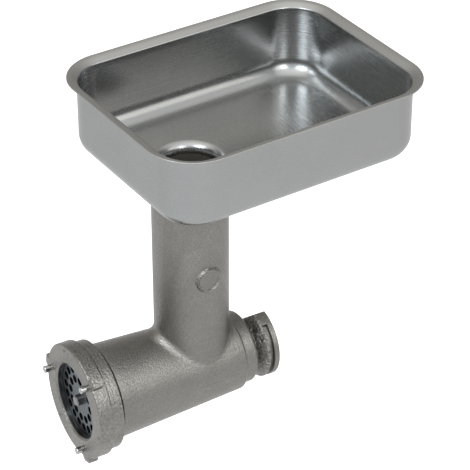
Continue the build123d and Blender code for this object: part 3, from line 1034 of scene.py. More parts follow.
    def _neck(self, shell: Shell) -> None:
        """Outside and inside of the neck, its mouth, and the two saddles.

        Args:
            shell: the casting's shell.
        """
        theta, spokes, fillet = self._outer().solve()
        theta_in, spokes_in, fillet_in = self._inner().solve()
        wall = self._neck_wall(theta, fillet[-1, :, 2])
        mouth = self._mouth(theta, theta_in)
        start, end = mouth[-1, :, 2], fillet_in[-1, :, 2]
        z = start + (end - start) * np.linspace(0.0, 1.0, self.bore_rows + 1)[:, None]
        bore = round_neck(self.neck_y, self.neck_bore_radius, theta_in, z)
        upwards = [spokes, fillet[1:], wall]
        downwards = [mouth[1:], bore[1:], fillet_in[-2::-1], spokes_in[-2::-1]]
        shell.add(np.concatenate(upwards + downwards), wrap=True)

    def _belly(self, shell: Shell, cut: SaddleCut) -> None:
        """The part of a lying tube beside and under the saddle's rectangle.

        Args:
            shell: the casting's shell.
            cut: the saddle on that tube.
        """
        middle = self.columns // 4
        first, last = middle + cut.half_columns, middle - cut.half_columns + self.columns
        phi = np.arange(first, last + 1) * (TAU / self.columns)
        y = np.linspace(cut.rear_y, cut.front_y, cut.rows + 1)
        shell.add(revolve_y(np.stack([y, cut.lying_radius(y)], 1), phi))

    def _corner(self, y: float, radius: float) -> Corner:
        """Corner on the tapered barrel at y, with an arc of some radius."""
        return (y, float(self.radius_at(np.array(y))), radius)

    def _front_profile(self) -> np.ndarray:
        """Barrel ahead of the neck, and the relief with its ridge behind the ring nut.

        Returns:
            (y, radius) points up to the start of the thread.
        """
        behind, ahead = self.ring_rear_y + self.relief_half, self.ring_rear_y - self.relief_half
        rear, front = self.ring_rear_y + self.ridge_rear, self.ring_rear_y + self.ridge_front
        low, draft = self.relief_radius, self.ridge_draft
        return rounded_profile(
            [
                self._corner(self.outer_front_y, 0.0),
                self._corner(behind, 0.6),
                (behind, low + 0.1, 0.4),
                (rear + draft, low + 0.1, 0.3),
                (rear, self.ridge_radius, 0.35),
                (front, self.ridge_radius, 0.35),
                (front - draft, low, 0.3),
                (ahead, low, 0.8),
                (ahead, self.thread_radius, 0.0),
            ]
        )

    def _nose_profile(self) -> np.ndarray:
        """Front face, seat of the plate, knife chamber and the bore up to the neck's saddle.

        Returns:
            (y, radius) points from the end of the thread inwards.
        """
        nose, edge, seat = self.nose_y, self.nose_edge, self.plate_seat_radius
        bore, chamber = self.barrel_bore_radius, self.knife_bore_radius
        return rounded_profile(
            [
                (nose, self.thread_radius - edge, 0.0),
                (nose, seat + edge, 0.0),
                (nose + edge, seat, 0.0),
                (self.plate_seat_y, seat, 0.0),
                (self.plate_seat_y, chamber, 0.3),
                (self.knife_bore_y, chamber, 0.0),
                (self.knife_bore_y + chamber - bore, bore, 0.0),
                (self.inner_front_y - 1.0, bore, 0.0),
                (self.inner_front_y, bore, 0.0),
            ]
        )

    def _thread(self, phi: np.ndarray) -> Grid:
        """Outside thread: a ridge that moves one pitch along y in each turn.

        With w = y / pitch + phi / turn, the ridge is 1 - |2 (w mod 1) - 1|, and the radius
        falls by the thread's depth where it is low. It fades at both ends.

        Args:
            phi: angles of the columns about the barrel.

        Returns:
            Grid between the relief and the front face, without its first and last ring.
        """
        start, run_out = self.ring_rear_y - self.relief_half, self.thread_run_out
        end = self.nose_y + self.nose_edge
        y = np.arange(start - 0.5 * self.thread_step, end, -self.thread_step)[:, None]
        ridge = 1.0 - np.abs(2.0 * ((y / self.thread_pitch + phi / TAU) % 1.0) - 1.0)
        fade = smoothstep(0.0, run_out, start - y) * smoothstep(0.0, run_out, y - self.nose_y)
        radius = self.thread_radius - self.thread_depth * fade * (1.0 - smoothstep(0.1, 0.9, ridge))
        radius -= self.nose_edge * (1.0 - smoothstep(0.0, 1.0, y - self.nose_y))
        return round_barrel(y, radius, phi)

    def _coupling_profile(self) -> np.ndarray:
        """End of the screw chamber, bush seat, flange, groove, boss and rear shoulder.

        Returns:
            (y, radius) points from the inner saddle round the rear end to the outer one.
        """
        bush, groove, outside = self.shaft_bore_radius, self.groove_radius, self.coupling_radius
        corners = [
            (self.inner_rear_y, self.barrel_bore_radius, 0.0),
            (self.bore_end_y, self.barrel_bore_radius, 1.0),
            (self.bore_end_y, bush, 0.3),
            (0.0, bush, 0.4),
            (0.0, outside, 0.5),
            (self.flange_front_y, outside, 3.0),
            (self.flange_front_y - self.groove_lean, groove, 2.5),
            (self.boss_end_y, groove, 2.5),
            (self.boss_end_y, outside, 3.5),
            (self.shoulder_y, outside, 0.9),
            self._corner(self.shoulder_y, 2.3),
            self._corner(self.outer_rear_y, 0.0),
        ]
        line = rounded_profile(corners, step=0.6)
        face = int(np.flatnonzero(line[:, 0] > -0.5)[0])
        line = np.concatenate([subdivide(line[: face + 1], 5.0), subdivide(line[face:], 1.3)[1:]])
        return self._closer_rows(line)

    def _closer_rows(self, line: np.ndarray) -> np.ndarray:
        """Add points 0.1 mm apart to the flange's rim on both sides of the channel's edges.

        Args:
            line: (y, radius) points of the coupling.

        Returns:
            The points with the new ones between them.
        """
        on_rim = (line[:, 1] > self.coupling_radius - 0.1) & (line[:, 0] > self.flange_front_y + 1.0)
        rim = np.flatnonzero(on_rim)
        y = line[rim, 0]
        edges = [edge + np.arange(-4, 5) * 0.1 for edge in (self.channel_front_y, self.channel_rear_y)]
        rows = np.concatenate([y] + edges)
        rows = np.unique(np.round(rows[(rows > y.min()) & (rows < y.max())], 4))[::-1]
        middle = np.stack([rows, np.full_like(rows, line[rim[1], 1])], 1)
        return np.concatenate([line[: rim[0] + 1], middle, line[rim[-1]:]])

    def _turned(self, shell: Shell) -> None:
        """Everything turned about the barrel axis in front of and behind the saddles.

        Args:
            shell: the casting's shell.
        """
        phi = np.arange(self.columns) * TAU / self.columns
        front = revolve_y(subdivide(self._front_profile(), 8.0), phi)
        nose = revolve_y(subdivide(self._nose_profile(), 5.0), phi)
        coupling = revolve_y(self._coupling_profile(), phi)
        shell.add(front, wrap=True)
        shell.add(np.concatenate([front[-1:], self._thread(phi), nose[:1]]), wrap=True)
        shell.add(self._rifle(nose, phi), wrap=True)
        shell.add(self._grub_hole(self._cut_flat(self._channel(coupling, phi), phi), phi), wrap=True)

    def _rifle(self, grid: Grid, phi: np.ndarray) -> Grid:
        """Cut the straight rifles into the bore ahead of the neck.

        A rifle is a circle of radius q about a point d from the axis, so at an angle a from
        its middle the bore's radius is d cos a + sqrt(q^2 - (d sin a)^2) where that is real.

        Args:
            grid: the turned front end.
            phi: angles of its columns.

        Returns:
            The grid with its rifles.
        """
        q, d = self.rifle_radius, self.barrel_bore_radius + self.rifle_depth - self.rifle_radius
        off = off_angle(phi, 0.0, TAU / self.rifle_count)
        inside = np.maximum(q ** 2 - (d * np.sin(off)) ** 2, 0.0)
        cut = np.where(inside > 0, d * np.cos(off) + np.sqrt(inside), 0.0)
        radius = reach(grid)
        bore = (radius < self.barrel_bore_radius + 0.01) & (grid[..., 1] < self.inner_front_y - 0.5)
        return at_reach(grid, np.where(bore, np.maximum(radius, cut), radius))

    def _channel(self, grid: Grid, phi: np.ndarray) -> Grid:
        """Sink the channel into the flange's rim; it stops short of the flat on one side.

        Its depth is the product of a soft step across the rim and one round it.

        Args:
            grid: the turned coupling.
            phi: angles of its columns.

        Returns:
            The grid with its channel.
        """
        y, radius = grid[..., 1], reach(grid)
        edge, end = 0.2, 1.2
        across = smoothstep(self.channel_front_y - edge, self.channel_front_y + edge, y)
        across = across * (1.0 - smoothstep(self.channel_rear_y - edge, self.channel_rear_y + edge, y))
        past_start = np.degrees((math.radians(self.channel_start) - phi) % TAU)
        around = smoothstep(0.0, end, past_start)
        around = around * (1.0 - smoothstep(self.channel_arc, self.channel_arc + end, past_start))
        on_rim = radius > self.coupling_radius - 2.0
        return at_reach(grid, radius - np.where(on_rim, self.channel_depth * across * around, 0.0))

    def _cut_flat(self, grid: Grid, phi: np.ndarray) -> Grid:
        """Mill the flat on the flange.

        Behind the boss no point may be further along the flat's normal than the flat, so
        its radius is at most distance / cos(angle to the normal), rounded over 0.25 mm.

        Args:
            grid: the turned coupling.
            phi: angles of its columns.

        Returns:
            The grid with its flat.
        """
        radius, soft = reach(grid), 0.25
        turn = np.cos(phi - math.radians(self.flat_angle))
        limit = np.where(turn > 0.05, self.flat_distance / np.maximum(turn, 0.05), 1e3)
        cut = np.minimum(radius, limit) - soft * np.log1p(np.exp(-np.abs(radius - limit) / soft))
        share = smoothstep(self.boss_end_y + 0.001, self.boss_end_y + 0.01, grid[..., 1])
        bored = radius < self.shaft_bore_radius + 0.6
        return at_reach(grid, np.where(bored, radius, radius + (cut - radius) * share))

    def _grub_hole(self, grid: Grid, phi: np.ndarray) -> Grid:
        """Sink the round hole of the grub screw into the floor of the groove.

        Args:
            grid: the turned coupling.
            phi: angles of its columns.

        Returns:
            The grid with its hole.
        """
        radius = reach(grid)
        along = grid[..., 1] - 0.5 * (self.boss_end_y + self.flange_front_y)
        arc = self.groove_radius * off_angle(phi, math.radians(self.grub_angle))
        low, high = self.grub_hole_radius - 0.2, self.grub_hole_radius + 0.2
        hole = 1.0 - smoothstep(low, high, np.hypot(arc, along))
        rise = radius - self.groove_radius
        near = (rise > -1.0) & (rise < 5.0) & (np.abs(along) < 4.0)
        return at_reach(grid, np.where(near, radius + (self.grub_hole_floor - radius) * hole, radius))

    def build(self, effects: Effects) -> None:
        """Make the casting and let it stand for its node.

        Args:
            effects: the shared node groups.
        """
        shell = Shell("casting")
        self._neck(shell)
        self._belly(shell, self._outer())
        self._belly(shell, self._inner())
        self._turned(shell)
        casting = shell.build()
        place(casting, "housing", ["grinder_body"], CAST_BODY.make(effects))
        self._dress_parts(casting, effects)

    def _dress_parts(self, casting: bpy.types.Object, effects: Effects) -> None:
        """Give the clamping groove a rougher casting skin and, like the neck's bore, a lighter colour as
        painted light in its shade.

        Args:
            casting: the finished casting.
            effects: the shared node groups.
        """
        front, rear, shaft = self.boss_end_y + 0.1, self.channel_front_y, self.shaft_bore_radius + 1.0
        # painted light: the groove's faces get the lighter colour
        dress_part(
            casting, ROUGH_GROOVE_PAINTED_LIGHT.make(effects),
            lambda x, y, z: (y > front) & (y < rear) & (np.hypot(x, z) > shaft),
        )
        # painted light: the faces of the neck's bore get the lighter colour
        above, inside = self.barrel_bore_radius + 0.5, self.neck_bore_radius + 0.3
        dress_part(
            casting, NECK_BORE_PAINTED_LIGHT.make(effects),
            lambda x, y, z: (z > above) & (np.hypot(x, y - self.neck_y) < inside),
        )


# --------------------------------------------------------------------- ring nut
@dataclass
class RingNut:
    """Clamping ring with three lugs on its rim and three bright spanner studs."""

    front_y: float = -182.0
    depth: float = 23.5
    radius: float = 50.5
    rear_radius: float = 47.5
    band: float = 12.5
    step: float = 1.0
    lip: float = 6.0
    opening: float = 33.0
    bevel: float = 1.5
    thread_radius: float = 41.85
    repeats: int = 3
    lug_angle: float = 49.0
    lug_half_angle: float = 8.0
    lug_width: float = 10.0
    lug_rise: float = 5.4
    lug_length: float = 10.5
    lug_start: float = 1.5
    lug_draft: float = 1.15
    lug_front: float = 1.3
    mark_angle: float = 109.0
    mark_half_angle: float = 3.0
    mark_circle: float = 45.5
    mark_rise: float = 0.9
    mark_top: float = 0.6
    mark_foot: float = 1.6
    stud_radius: float = 3.0
    stud_neck: float = 0.35
    stud_neck_end: float = 1.3
    stud_round: float = 0.95
    stud_length: float = 7.0
    stud_root: float = 0.6
    stud_circle: float = 43.0
    stud_columns: int = 48

    def _places(self, first: float) -> np.ndarray:
        """Directions, in degrees, of what stands evenly round the ring from a first one."""
        return first + 360.0 / self.repeats * np.arange(self.repeats)

    def _angles(self) -> np.ndarray:
        """Angles of the columns: whole degrees, closer together across each lug and mark.

        Returns:
            Angles about the axis in radians.
        """
        coarse = np.arange(0.0, 360.0, 1.0)
        clear = np.ones(len(coarse), bool)
        fine: List[np.ndarray] = []
        spans = ((self.lug_angle, self.lug_half_angle, 0.32), (self.mark_angle, self.mark_half_angle, 0.5))
        for first, half, step in spans:
            for middle in self._places(first):
                fine.append(middle + np.arange(-half, half + 0.01, step))
                clear &= np.abs(off_angle(coarse, middle, 360.0)) > half + 0.2
        return np.radians(np.sort(np.concatenate([coarse[clear]] + fine) % 360.0))

    def _section(self) -> np.ndarray:
        """Closed section of the ring without its lugs.

        Returns:
            (y, radius) points, the last on the first.
        """
        y0, y1 = self.front_y, self.front_y + self.depth
        corners = [
            (y0 + self.lip, self.opening, 0.3),
            (y0 + self.bevel, self.opening, 0.3),
            (y0, self.opening + self.bevel, 0.3),
            (y0, self.radius, 1.5),
            (y0 + self.band, self.radius, 0.7),
            (y0 + self.band + self.step, self.rear_radius, 0.7),
            (y1, self.rear_radius, 0.6),
            (y1, self.thread_radius, 0.4),
            (y0 + self.lip, self.thread_radius, 0.4),
        ]
        line = rounded_profile(corners, closed=True)
        return subdivide(np.concatenate([line, line[:1]]), 0.6)

    def _pads(self, phi: np.ndarray, y: np.ndarray) -> np.ndarray:
        """Plan of the lugs: flat-topped pads with drafted sides and a rounded rear end.

        It is a soft step of the distance from each pad's middle line, which ends half a
        width ahead of the pad's rear.

        Args:
            phi: angles of the columns.
            y: y of each point.

        Returns:
            1 on the pads, 0 off them.
        """
        plan = np.zeros(np.broadcast(phi, y).shape)
        half = self.lug_width / 2.0
        behind = y - (self.front_y + self.lug_length - half + self.lug_start)
        for middle in np.radians(self._places(self.lug_angle)):
            arc = self.radius * off_angle(phi, middle)
            away = np.hypot(arc, np.maximum(behind, 0.0))
            plan = np.maximum(plan, 1.0 - smoothstep(half - self.lug_draft, half, away))
        return plan

    def _raise_lugs(self, grid: Grid, phi: np.ndarray) -> Grid:
        """Move the outside of the ring out to the top of the lugs, where they are.

        The top rises from the ring's face with the square root of a soft step.

        Args:
            grid: the turned ring.
            phi: angles of its columns.

        Returns:
            The grid with its lugs.
        """
        y, radius = grid[..., 1], reach(grid)
        behind_face = y - self.front_y
        on_band = behind_face < self.band + self.step
        share = smoothstep(self.radius - 1.2, self.radius - 0.35, radius) * on_band
        outside = (radius > self.rear_radius - 1.0) & (behind_face > 1.2)
        share = np.maximum(share, outside.astype(float))
        rise = self.lug_rise * smoothstep(0.0, self.lug_front, behind_face - 0.05) ** 0.5
        top = np.minimum(np.maximum(radius, self.radius + rise), self.radius + self.lug_rise)
        return at_reach(grid, radius + (top - radius) * self._pads(phi, y) * share)

    def _raise_marks(self, grid: Grid) -> Grid:
        """Raise three small round marks on the front face: a soft step of the distance.

        Args:
            grid: the ring.

        Returns:
            The grid with its marks.
        """
        face = grid[..., 1] < self.front_y + 0.01
        marked = grid.copy()
        for middle in np.radians(self._places(self.mark_angle)):
            x, z = self.mark_circle * math.cos(middle), self.mark_circle * math.sin(middle)
            away = np.hypot(grid[..., 0] - x, grid[..., 2] - z)
            rise = self.mark_rise * (1.0 - smoothstep(self.mark_top, self.mark_foot, away))
            marked[..., 1] -= np.where(face, rise, 0.0)
        return marked

    def build(self, effects: Effects) -> None:
        """Make the ring and its studs.

        Args:
            effects: the shared node groups.
        """
        phi = self._angles()
        grid = self._raise_marks(self._raise_lugs(revolve_y(self._section(), phi), phi))
        ring = Shell("ring_nut_cast").add(grid, wrap=True).build()
        place(ring, "ring", ["ring_nut"], CAST_RING.make(effects))
        opening = self.opening + 0.4
        dress_part(ring, RING_BORE.make(effects), lambda x, y, z: np.hypot(x, z) < opening)
        place(self._studs(), "ring", ["spanner_studs"], BRIGHT_STEEL.make(effects))

    def _studs(self) -> bpy.types.Object:
        """Three turned studs: a shank, a shallow neck at the face and a rounded end.

        Returns:
            The piece.
        """
        r, face, end = self.stud_radius, self.front_y, self.front_y - self.stud_length
        neck, root = r - self.stud_neck, self.front_y + self.stud_root
        corners = [
            (root, 0.0, 0.0),
            (root, neck, 0.0),
            (face - self.stud_neck_end + 0.4, neck, 0.2),
            (face - self.stud_neck_end, r, 0.25),
            (end, r, self.stud_round),
            (end, 0.0, 0.0),
        ]
        line = subdivide(rounded_profile(corners, step=0.2), 0.8)
        line[:, 1] = np.maximum(line[:, 1], 0.0)
        stud = revolve_y(line, np.arange(self.stud_columns) * TAU / self.stud_columns)
        shell = Shell("spanner_studs_turned")
        for middle in np.radians(self._places(self.lug_angle)):
            shift = np.array([math.cos(middle), 0.0, math.sin(middle)]) * self.stud_circle
            shell.add(stud + shift, wrap=True)
        return shell.build()


# --------------------------------------------------------------------- feed tray
@dataclass
class FeedTray:
    """Deep-drawn pan: rounded rectangle walls, coved floor, sloping rim and round throat."""

    neck_y: float = -69.0
    base_z: float = 201.0
    width: float = 179.0
    length: float = 235.0
    depth: float = 67.8
    near_offset: float = 8.4
    rear_offset: float = 48.0
    turn: float = 3.3
    corner: float = 33.0
    bend: float = 16.4
    sheet: float = 1.2
    rim: float = 7.98
    rim_rise: float = 4.0
    rim_sheet: float = 1.4
    rim_edge: float = 0.5
    rim_foot: float = 3.0
    rim_crown: float = 9.0
    rim_drop: float = 0.9
    rim_lip: float = 1.6
    throat: float = 24.5
    throat_round: float = 4.0
    throat_flare: float = 3.4
    dish_radius: float = 32.0
    dish_depth: float = 9.0
    spigot_length: float = 38.0
    side_points: int = 26
    corner_points: int = 22
    floor_rows: int = 14
    dish_rows: int = 14
    spigot_columns: int = 160

    def outline(self, inset: np.ndarray) -> np.ndarray:
        """Rounded rectangle set in from the outer wall, in the tray's own plan.

        Each corner's arc keeps its centre while its radius shrinks by the inset, and each
        side joins the ends of its two arcs.

        Args:
            inset: (n,) distances inwards from the outer wall face.

        Returns:
            (n, m, 2) points, once round.
        """
        half = np.array([self.width / 2 - self.corner, self.length / 2 - self.corner])
        centres = half * np.array([(1, 1), (-1, 1), (-1, -1), (1, -1)])
        radius = np.maximum(self.corner - inset, 0.01)[:, None, None]
        t = np.linspace(0.0, 1.0, self.side_points + 1)[None, 1:-1, None]
        rows: List[np.ndarray] = []
        for k in range(4):
            angle = (k + np.linspace(0.0, 1.0, self.corner_points + 1)) * math.pi / 2
            arc = centres[k] + radius * np.stack([np.cos(angle), np.sin(angle)], 1)
            onwards = centres[(k + 1) % 4] - centres[k]
            rows += [arc, arc[:, -1:, :] + onwards * t]
        return np.concatenate(rows, 1) + np.array([self.near_offset, self.rear_offset])

    def _to_world(self, plan: np.ndarray, z: np.ndarray) -> Grid:
        """Turn the tray's plan about the neck axis and add the height.

        Args:
            plan: (n, m, 2) points in the tray's own plan.
            z: their heights.

        Returns:
            The grid.
        """
        c, s = math.cos(math.radians(self.turn)), math.sin(math.radians(self.turn))
        x, y = plan[..., 0], plan[..., 1]
        return np.stack([x * c - y * s, self.neck_y + x * s + y * c, z + 0.0 * x], 2)

    def _walls(self, corners: Sequence[Corner]) -> Tuple[Grid, np.ndarray]:
        """Carry a wall profile round the outline.

        Args:
            corners: (inset, height, radius) of the profile's corners.

        Returns:
            The grid and its texture coordinates: the run round the wall and along the profile.
        """
        line = subdivide(rounded_profile(corners, step=0.8), 6.0)
        grid = self._to_world(self.outline(line[:, 0]), line[:, 1:])
        base = self.outline(np.zeros(1))[0]
        run, rise = (
            np.concatenate([[0.0], np.cumsum(np.linalg.norm(np.diff(path, axis=0), axis=1))])
            for path in (base, line)
        )
        return grid, np.stack(np.broadcast_arrays(run[None, :], rise[:, None]), 2) * MM

    def _spoke_angles(self) -> np.ndarray:
        """Directions from the neck's axis to the foot of the walls' bend."""
        foot = self.outline(np.array([self.bend]))[0]
        return np.arctan2(foot[:, 1], foot[:, 0])

    def _floor(self, z: float, radius: float) -> Grid:
        """Flat floor between the walls' bend and the throat: spokes from one to the other.

        Args:
            z: height of the floor.
            radius: radius at which the throat begins.

        Returns:
            The grid.
        """
        outer, angle = self.outline(np.array([self.bend]))[0], self._spoke_angles()
        inner = radius * np.stack([np.cos(angle), np.sin(angle)], 1)
        t = np.linspace(0.0, 1.0, self.floor_rows + 1)[:, None, None]
        plan = outer[None] + (inner - outer)[None] * t
        return self._to_world(plan, np.full(plan.shape[:2], z))

    def _throat(self, dish_bottom: float) -> Grid:
        """Dish of the throat, a quarter of an ellipse, and its round underside.

        Its rings have the directions of the floor's spokes.

        Args:
            dish_bottom: height at which the dish ends.

        Returns:
            The grid.
        """
        z0, outside = self.base_z, self.throat + self.sheet
        quarter = np.linspace(math.pi / 2, math.pi, self.dish_rows)
        wide = self.dish_radius - self.throat
        dish_z = dish_bottom + self.dish_depth * np.sin(quarter)
        dish = np.stack([self.dish_radius + wide * np.cos(quarter), dish_z], 1)
        under = [
            (outside, dish_bottom),
            (outside, z0 - self.throat_flare),
            (outside + 0.3, z0 - self.throat_flare + 0.8),
            (self.throat + self.throat_round, z0),
        ]
        line, angle = np.concatenate([dish, under]), self._spoke_angles()
        plan = line[:, :1, None] * np.stack([np.cos(angle), np.sin(angle)], 1)[None]
        return self._to_world(plan, line[:, 1:])

    def _pan(self, dish_bottom: float) -> bpy.types.Object:
        """The pan: walls with their rim, floor and throat.

        Args:
            dish_bottom: height at which the throat's dish ends.

        Returns:
            The piece.
        """
        z0, z1 = self.base_z, self.base_z + self.depth
        s, rim = self.sheet, self.rim
        walls, uv = self._walls(
            [
                (self.bend, z0, 0.0),
                (0.0, z0, self.bend - 0.01),
                (0.0, z1 - self.rim_rise - self.rim_sheet, self.rim_foot),
                (-rim, z1 - self.rim_sheet, self.rim_edge),
                (-rim, z1, self.rim_edge),
                (-0.5 * rim, z1 - self.rim_drop, self.rim_crown),
                (s, z1 - self.rim_rise, self.rim_lip),
                (s, z0 + s, self.bend - s - 0.01),
                (self.bend, z0 + s, 0.0),
            ]
        )
        shell = Shell("tray_pan_drawn").add(walls, wrap=True, uv=uv)
        under = self._floor(z0, self.throat + self.throat_round)
        floor = self._floor(z0 + s, self.dish_radius)
        for flat in (under, floor, self._throat(dish_bottom)):
            shell.add(flat, wrap=True, uv=(flat[..., :2] - flat[0, 0, :2]) * MM)
        return shell.build()

    def _spigot(self, top: float) -> bpy.types.Object:
        """Tube under the pan that seats in the neck.

        Args:
            top: height of its upper end.

        Returns:
            The piece.
        """
        foot = self.base_z + self.sheet - self.throat_round - self.spigot_length
        inside, outside = self.throat, self.throat + self.sheet
        corners = [(top, inside, 0.0), (foot, inside, 0.3), (foot, outside, 0.3), (top, outside, 0.0)]
        line = subdivide(rounded_profile(corners), 4.0)
        line = np.concatenate([line, line[:1]])
        angle = np.arange(self.spigot_columns) * TAU / self.spigot_columns
        grid = round_neck(self.neck_y, line[:, 1:], angle, line[:, :1])
        uv = np.stack(np.broadcast_arrays(angle[None, :] * inside, line[:, :1]), 2) * MM
        return Shell("tray_spigot_tube").add(grid, wrap=True, uv=uv).build()

    def build(self, effects: Effects) -> None:
        """Make the pan and the spigot under it.

        Args:
            effects: the shared node groups.
        """
        dish_bottom = self.base_z + self.sheet - self.dish_depth
        rim_foot = self.base_z + self.depth - self.rim_rise + 0.1
        bore = self.throat + 0.5 * self.sheet
        steel = TRAY_STEEL.make(effects)
        pan, spigot = self._pan(dish_bottom), self._spigot(dish_bottom)
        place(pan, "tray", ["tray_pan"], steel)
        dress_part(pan, RIM_STEEL.make(effects), lambda x, y, z: z > rim_foot)
        place(spigot, "tray", ["tray_spigot"], steel)
        # painted light: the spigot's inside faces get the lighter colour
        finish = SPIGOT_INSIDE_PAINTED_LIGHT.make(effects)
        dress_part(spigot, finish, lambda x, y, z: np.hypot(x, y - self.neck_y) < bore)


# --------------------------------------------------------------------- carried-over nodes
@dataclass
class InnerParts:
    """CAD nodes whose shape is right: each only gets its finish."""

    finishes: Dict[str, Union[MetalFinish, PlainFinish]] = field(
        default_factory=lambda: {
            "hole_plate": PLATE_STEEL,
            "feed_screw": SCREW_STEEL,
            "knife": KNIFE_STEEL,
            "knife_spindle": SPINDLE_STEEL,
            "drive_shank": BRIGHT_STEEL,
            "plate_key_pin": BRIGHT_STEEL,
            "bush_grub_screw": BRIGHT_STEEL,
            "rear_bush": BUSH_BRONZE,
            "thrust_washer": WASHER_PLASTIC,
        }
    )

    def build(self, nodes: Dict[str, bpy.types.Object], effects: Effects) -> None:
        """Give every node its material.

        Args:
            nodes: the frame's nodes by name.
            effects: the shared node groups.
        """
        made: Dict[str, bpy.types.Material] = {}
        for name, finish in self.finishes.items():
            if finish.name not in made:
                made[finish.name] = finish.make(effects)
            mesh = nodes[name].data
            mesh.materials.clear()
            mesh.materials.append(made[finish.name])
            LOG.info("%s: dressed as %s", name, finish.name)


# --------------------------------------------------------------------- studio
def facing(azimuth: float, elevation: float) -> np.ndarray:
    """Axes of something that looks at the object from a direction.

    Its back is (sin a cos e, -cos a cos e, sin e), its right (cos a, sin a, 0) and its top
    their cross product.

    Args:
        azimuth: degrees from the ring nut's side towards +X.
        elevation: degrees above the floor.

    Returns:
        Matrix whose columns are its right, top and back.
    """
    a, e = math.radians(azimuth), math.radians(elevation)
    back = np.array([math.sin(a) * math.cos(e), -math.cos(a) * math.cos(e), math.sin(e)])
    right = np.array([math.cos(a), math.sin(a), 0.0])
    return np.stack([right, np.cross(back, right), back], 1)


def stand(name: str, data: bpy.types.ID, axes: np.ndarray, spot: np.ndarray) -> bpy.types.Object:
    """Put a camera or a lamp at its spot.

    Args:
        name: name of the object.
        data: its camera or light.
        axes: matrix whose columns are its right, top and back.
        spot: its place in metres.

    Returns:
        The object.
    """
    matrix = np.eye(4)
    matrix[:3, :3], matrix[:3, 3] = axes, spot
    thing = bpy.data.objects.new(name, data)
    thing.matrix_world = Matrix(matrix.tolist())
    bpy.context.scene.collection.objects.link(thing)
    return thing


@dataclass(frozen=True)
class Lamp:
    """Rectangular lamp that faces the middle of the object from a direction."""

    name: str
    azimuth: float
    elevation: float
    size: Tuple[float, float]
    power: float
    colour: Colour
    distance: float = 1.6
    target: Tuple[float, float, float] = (0.0, -0.05, 0.12)

    def build(self) -> None:
        """Make the lamp."""
        data = bpy.data.lights.new(self.name, "AREA")
        data.shape = "RECTANGLE"
        data.size, data.size_y = self.size
        data.energy = self.power
        data.color = self.colour
        axes = facing(self.azimuth, self.elevation)
        stand(self.name, data, axes, np.array(self.target) + self.distance * axes[:, 2])


LAMPS = (
    Lamp("key", 20.0, 42.0, (0.6, 0.5), 12.8, (0.90, 0.98, 1.08)),
    Lamp("side", 118.0, 32.0, (1.1, 0.9), 4.4, (1.03, 1.0, 0.95)),
    Lamp("strip", 88.0, 36.0, (0.3, 0.6), 5.4, (0.95, 1.0, 1.04)),
)


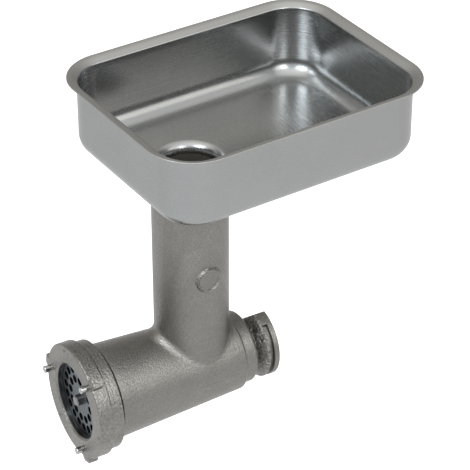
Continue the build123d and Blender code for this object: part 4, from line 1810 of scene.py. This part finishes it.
@dataclass
class Studio:
    """Camera, lamps, pale floor and surroundings."""

    azimuth: float = 60.024
    elevation: float = 33.2
    distance: float = 1.8348
    across: float = 0.036876
    up: float = 0.10836
    lens: float = 163.74
    target: Tuple[float, float, float] = (0.0, -0.069, 0.0)
    floor_z: float = -0.30
    floor_size: float = 12.0
    paper: float = 0.69
    eye_glow: float = 0.74
    mirror_glow: float = 0.08

    def camera(self) -> None:
        """Camera at the view's angle, shifted across and up from the foot of the neck."""
        data = bpy.data.cameras.new("camera")
        data.lens = self.lens
        data.sensor_width = 36.0
        data.clip_end = 50.0
        axes = facing(self.azimuth, self.elevation)
        spot = np.array(self.target) + axes @ np.array([self.across, self.up, self.distance])
        bpy.context.scene.camera = stand("camera", data, axes, spot)

    def floor(self) -> None:
        """Pale floor that is white to the eye and in reflections, and keeps the shadow."""
        mesh = bpy.data.meshes.new("floor")
        size, z = self.floor_size, self.floor_z
        corners = [(-size, -size, z), (size, -size, z), (size, size, z), (-size, size, z)]
        mesh.from_pydata(corners, [], [(0, 1, 2, 3)])
        floor = bpy.data.objects.new("floor", mesh)
        bpy.context.scene.collection.objects.link(floor)
        material, w = new_material("floor_paper")
        paper = w.node("ShaderNodeBsdfDiffuse", {"Color": (self.paper,) * 3 + (1.0,)})
        path = w.node("ShaderNodeLightPath").outputs
        mirrored = w.maths("MAXIMUM", path["Is Glossy Ray"], path["Is Transmission Ray"])
        seen = w.maths("MULTIPLY", path["Is Camera Ray"], self.eye_glow)
        strength = w.maths("MAXIMUM", seen, w.maths("MULTIPLY", mirrored, self.mirror_glow))
        glow = w.node("ShaderNodeEmission", {"Color": WHITE, "Strength": strength})
        both = w.node("ShaderNodeAddShader", {0: paper.outputs[0], 1: glow.outputs[0]})
        w.node("ShaderNodeOutputMaterial", {"Surface": both.outputs[0]})
        mesh.materials.append(material)

    def surroundings(self) -> None:
        """World: white to the eye, and in reflections a grey studio.

        It is bright near the horizon and at the ceiling, grey between them, and lighter
        towards the front right.
        """
        world = bpy.data.worlds.new("studio")
        bpy.context.scene.world = world
        world.use_nodes = True
        world.node_tree.nodes.clear()
        w = Wiring(world.node_tree)
        x, y, z = w.parts(w.node("ShaderNodeTexCoord").outputs["Generated"])
        horizon, ceiling = w.remap(z, 0.10, 0.26, 0.92, 0.2), w.remap(z, 0.58, 0.86, 0.0, 1.0)
        side = w.maths("MULTIPLY_ADD", x, 0.7, w.maths("MULTIPLY", y, -0.7))
        above = w.remap(z, 0.1, 0.3, 0.0, 1.0)
        front = w.maths("MULTIPLY", w.remap(side, -0.3, 0.5, 0.0, 0.75), above)
        level = w.maths("ADD", w.maths("ADD", horizon, ceiling), front)
        tint = w.mix(w.remap(x, -0.6, 0.6, 0.0, 1.0), (1.02, 1.0, 0.96, 1.0), (0.98, 1.0, 1.02, 1.0))
        studio = w.mix(1.0, tint, level, "MULTIPLY")
        colour = w.mix(w.node("ShaderNodeLightPath").outputs["Is Camera Ray"], studio, WHITE)
        background = w.node("ShaderNodeBackground", {"Color": colour, "Strength": 1.0})
        w.node("ShaderNodeOutputWorld", {"Surface": background.outputs[0]})

    def build(self) -> None:
        """Set up the whole studio."""
        self.camera()
        self.floor()
        self.surroundings()
        for lamp in LAMPS:
            lamp.build()
        bpy.context.scene.view_settings.view_transform = "Standard"


def main() -> None:
    """Build every piece around the frame."""
    logging.basicConfig(level=logging.INFO, format="%(message)s")
    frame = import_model()
    effects = Effects()
    Casting().build(effects)
    RingNut().build(effects)
    FeedTray().build(effects)
    InnerParts().build(frame["nodes"], effects)
    Studio().build()


if __name__ == "__main__":
    main()
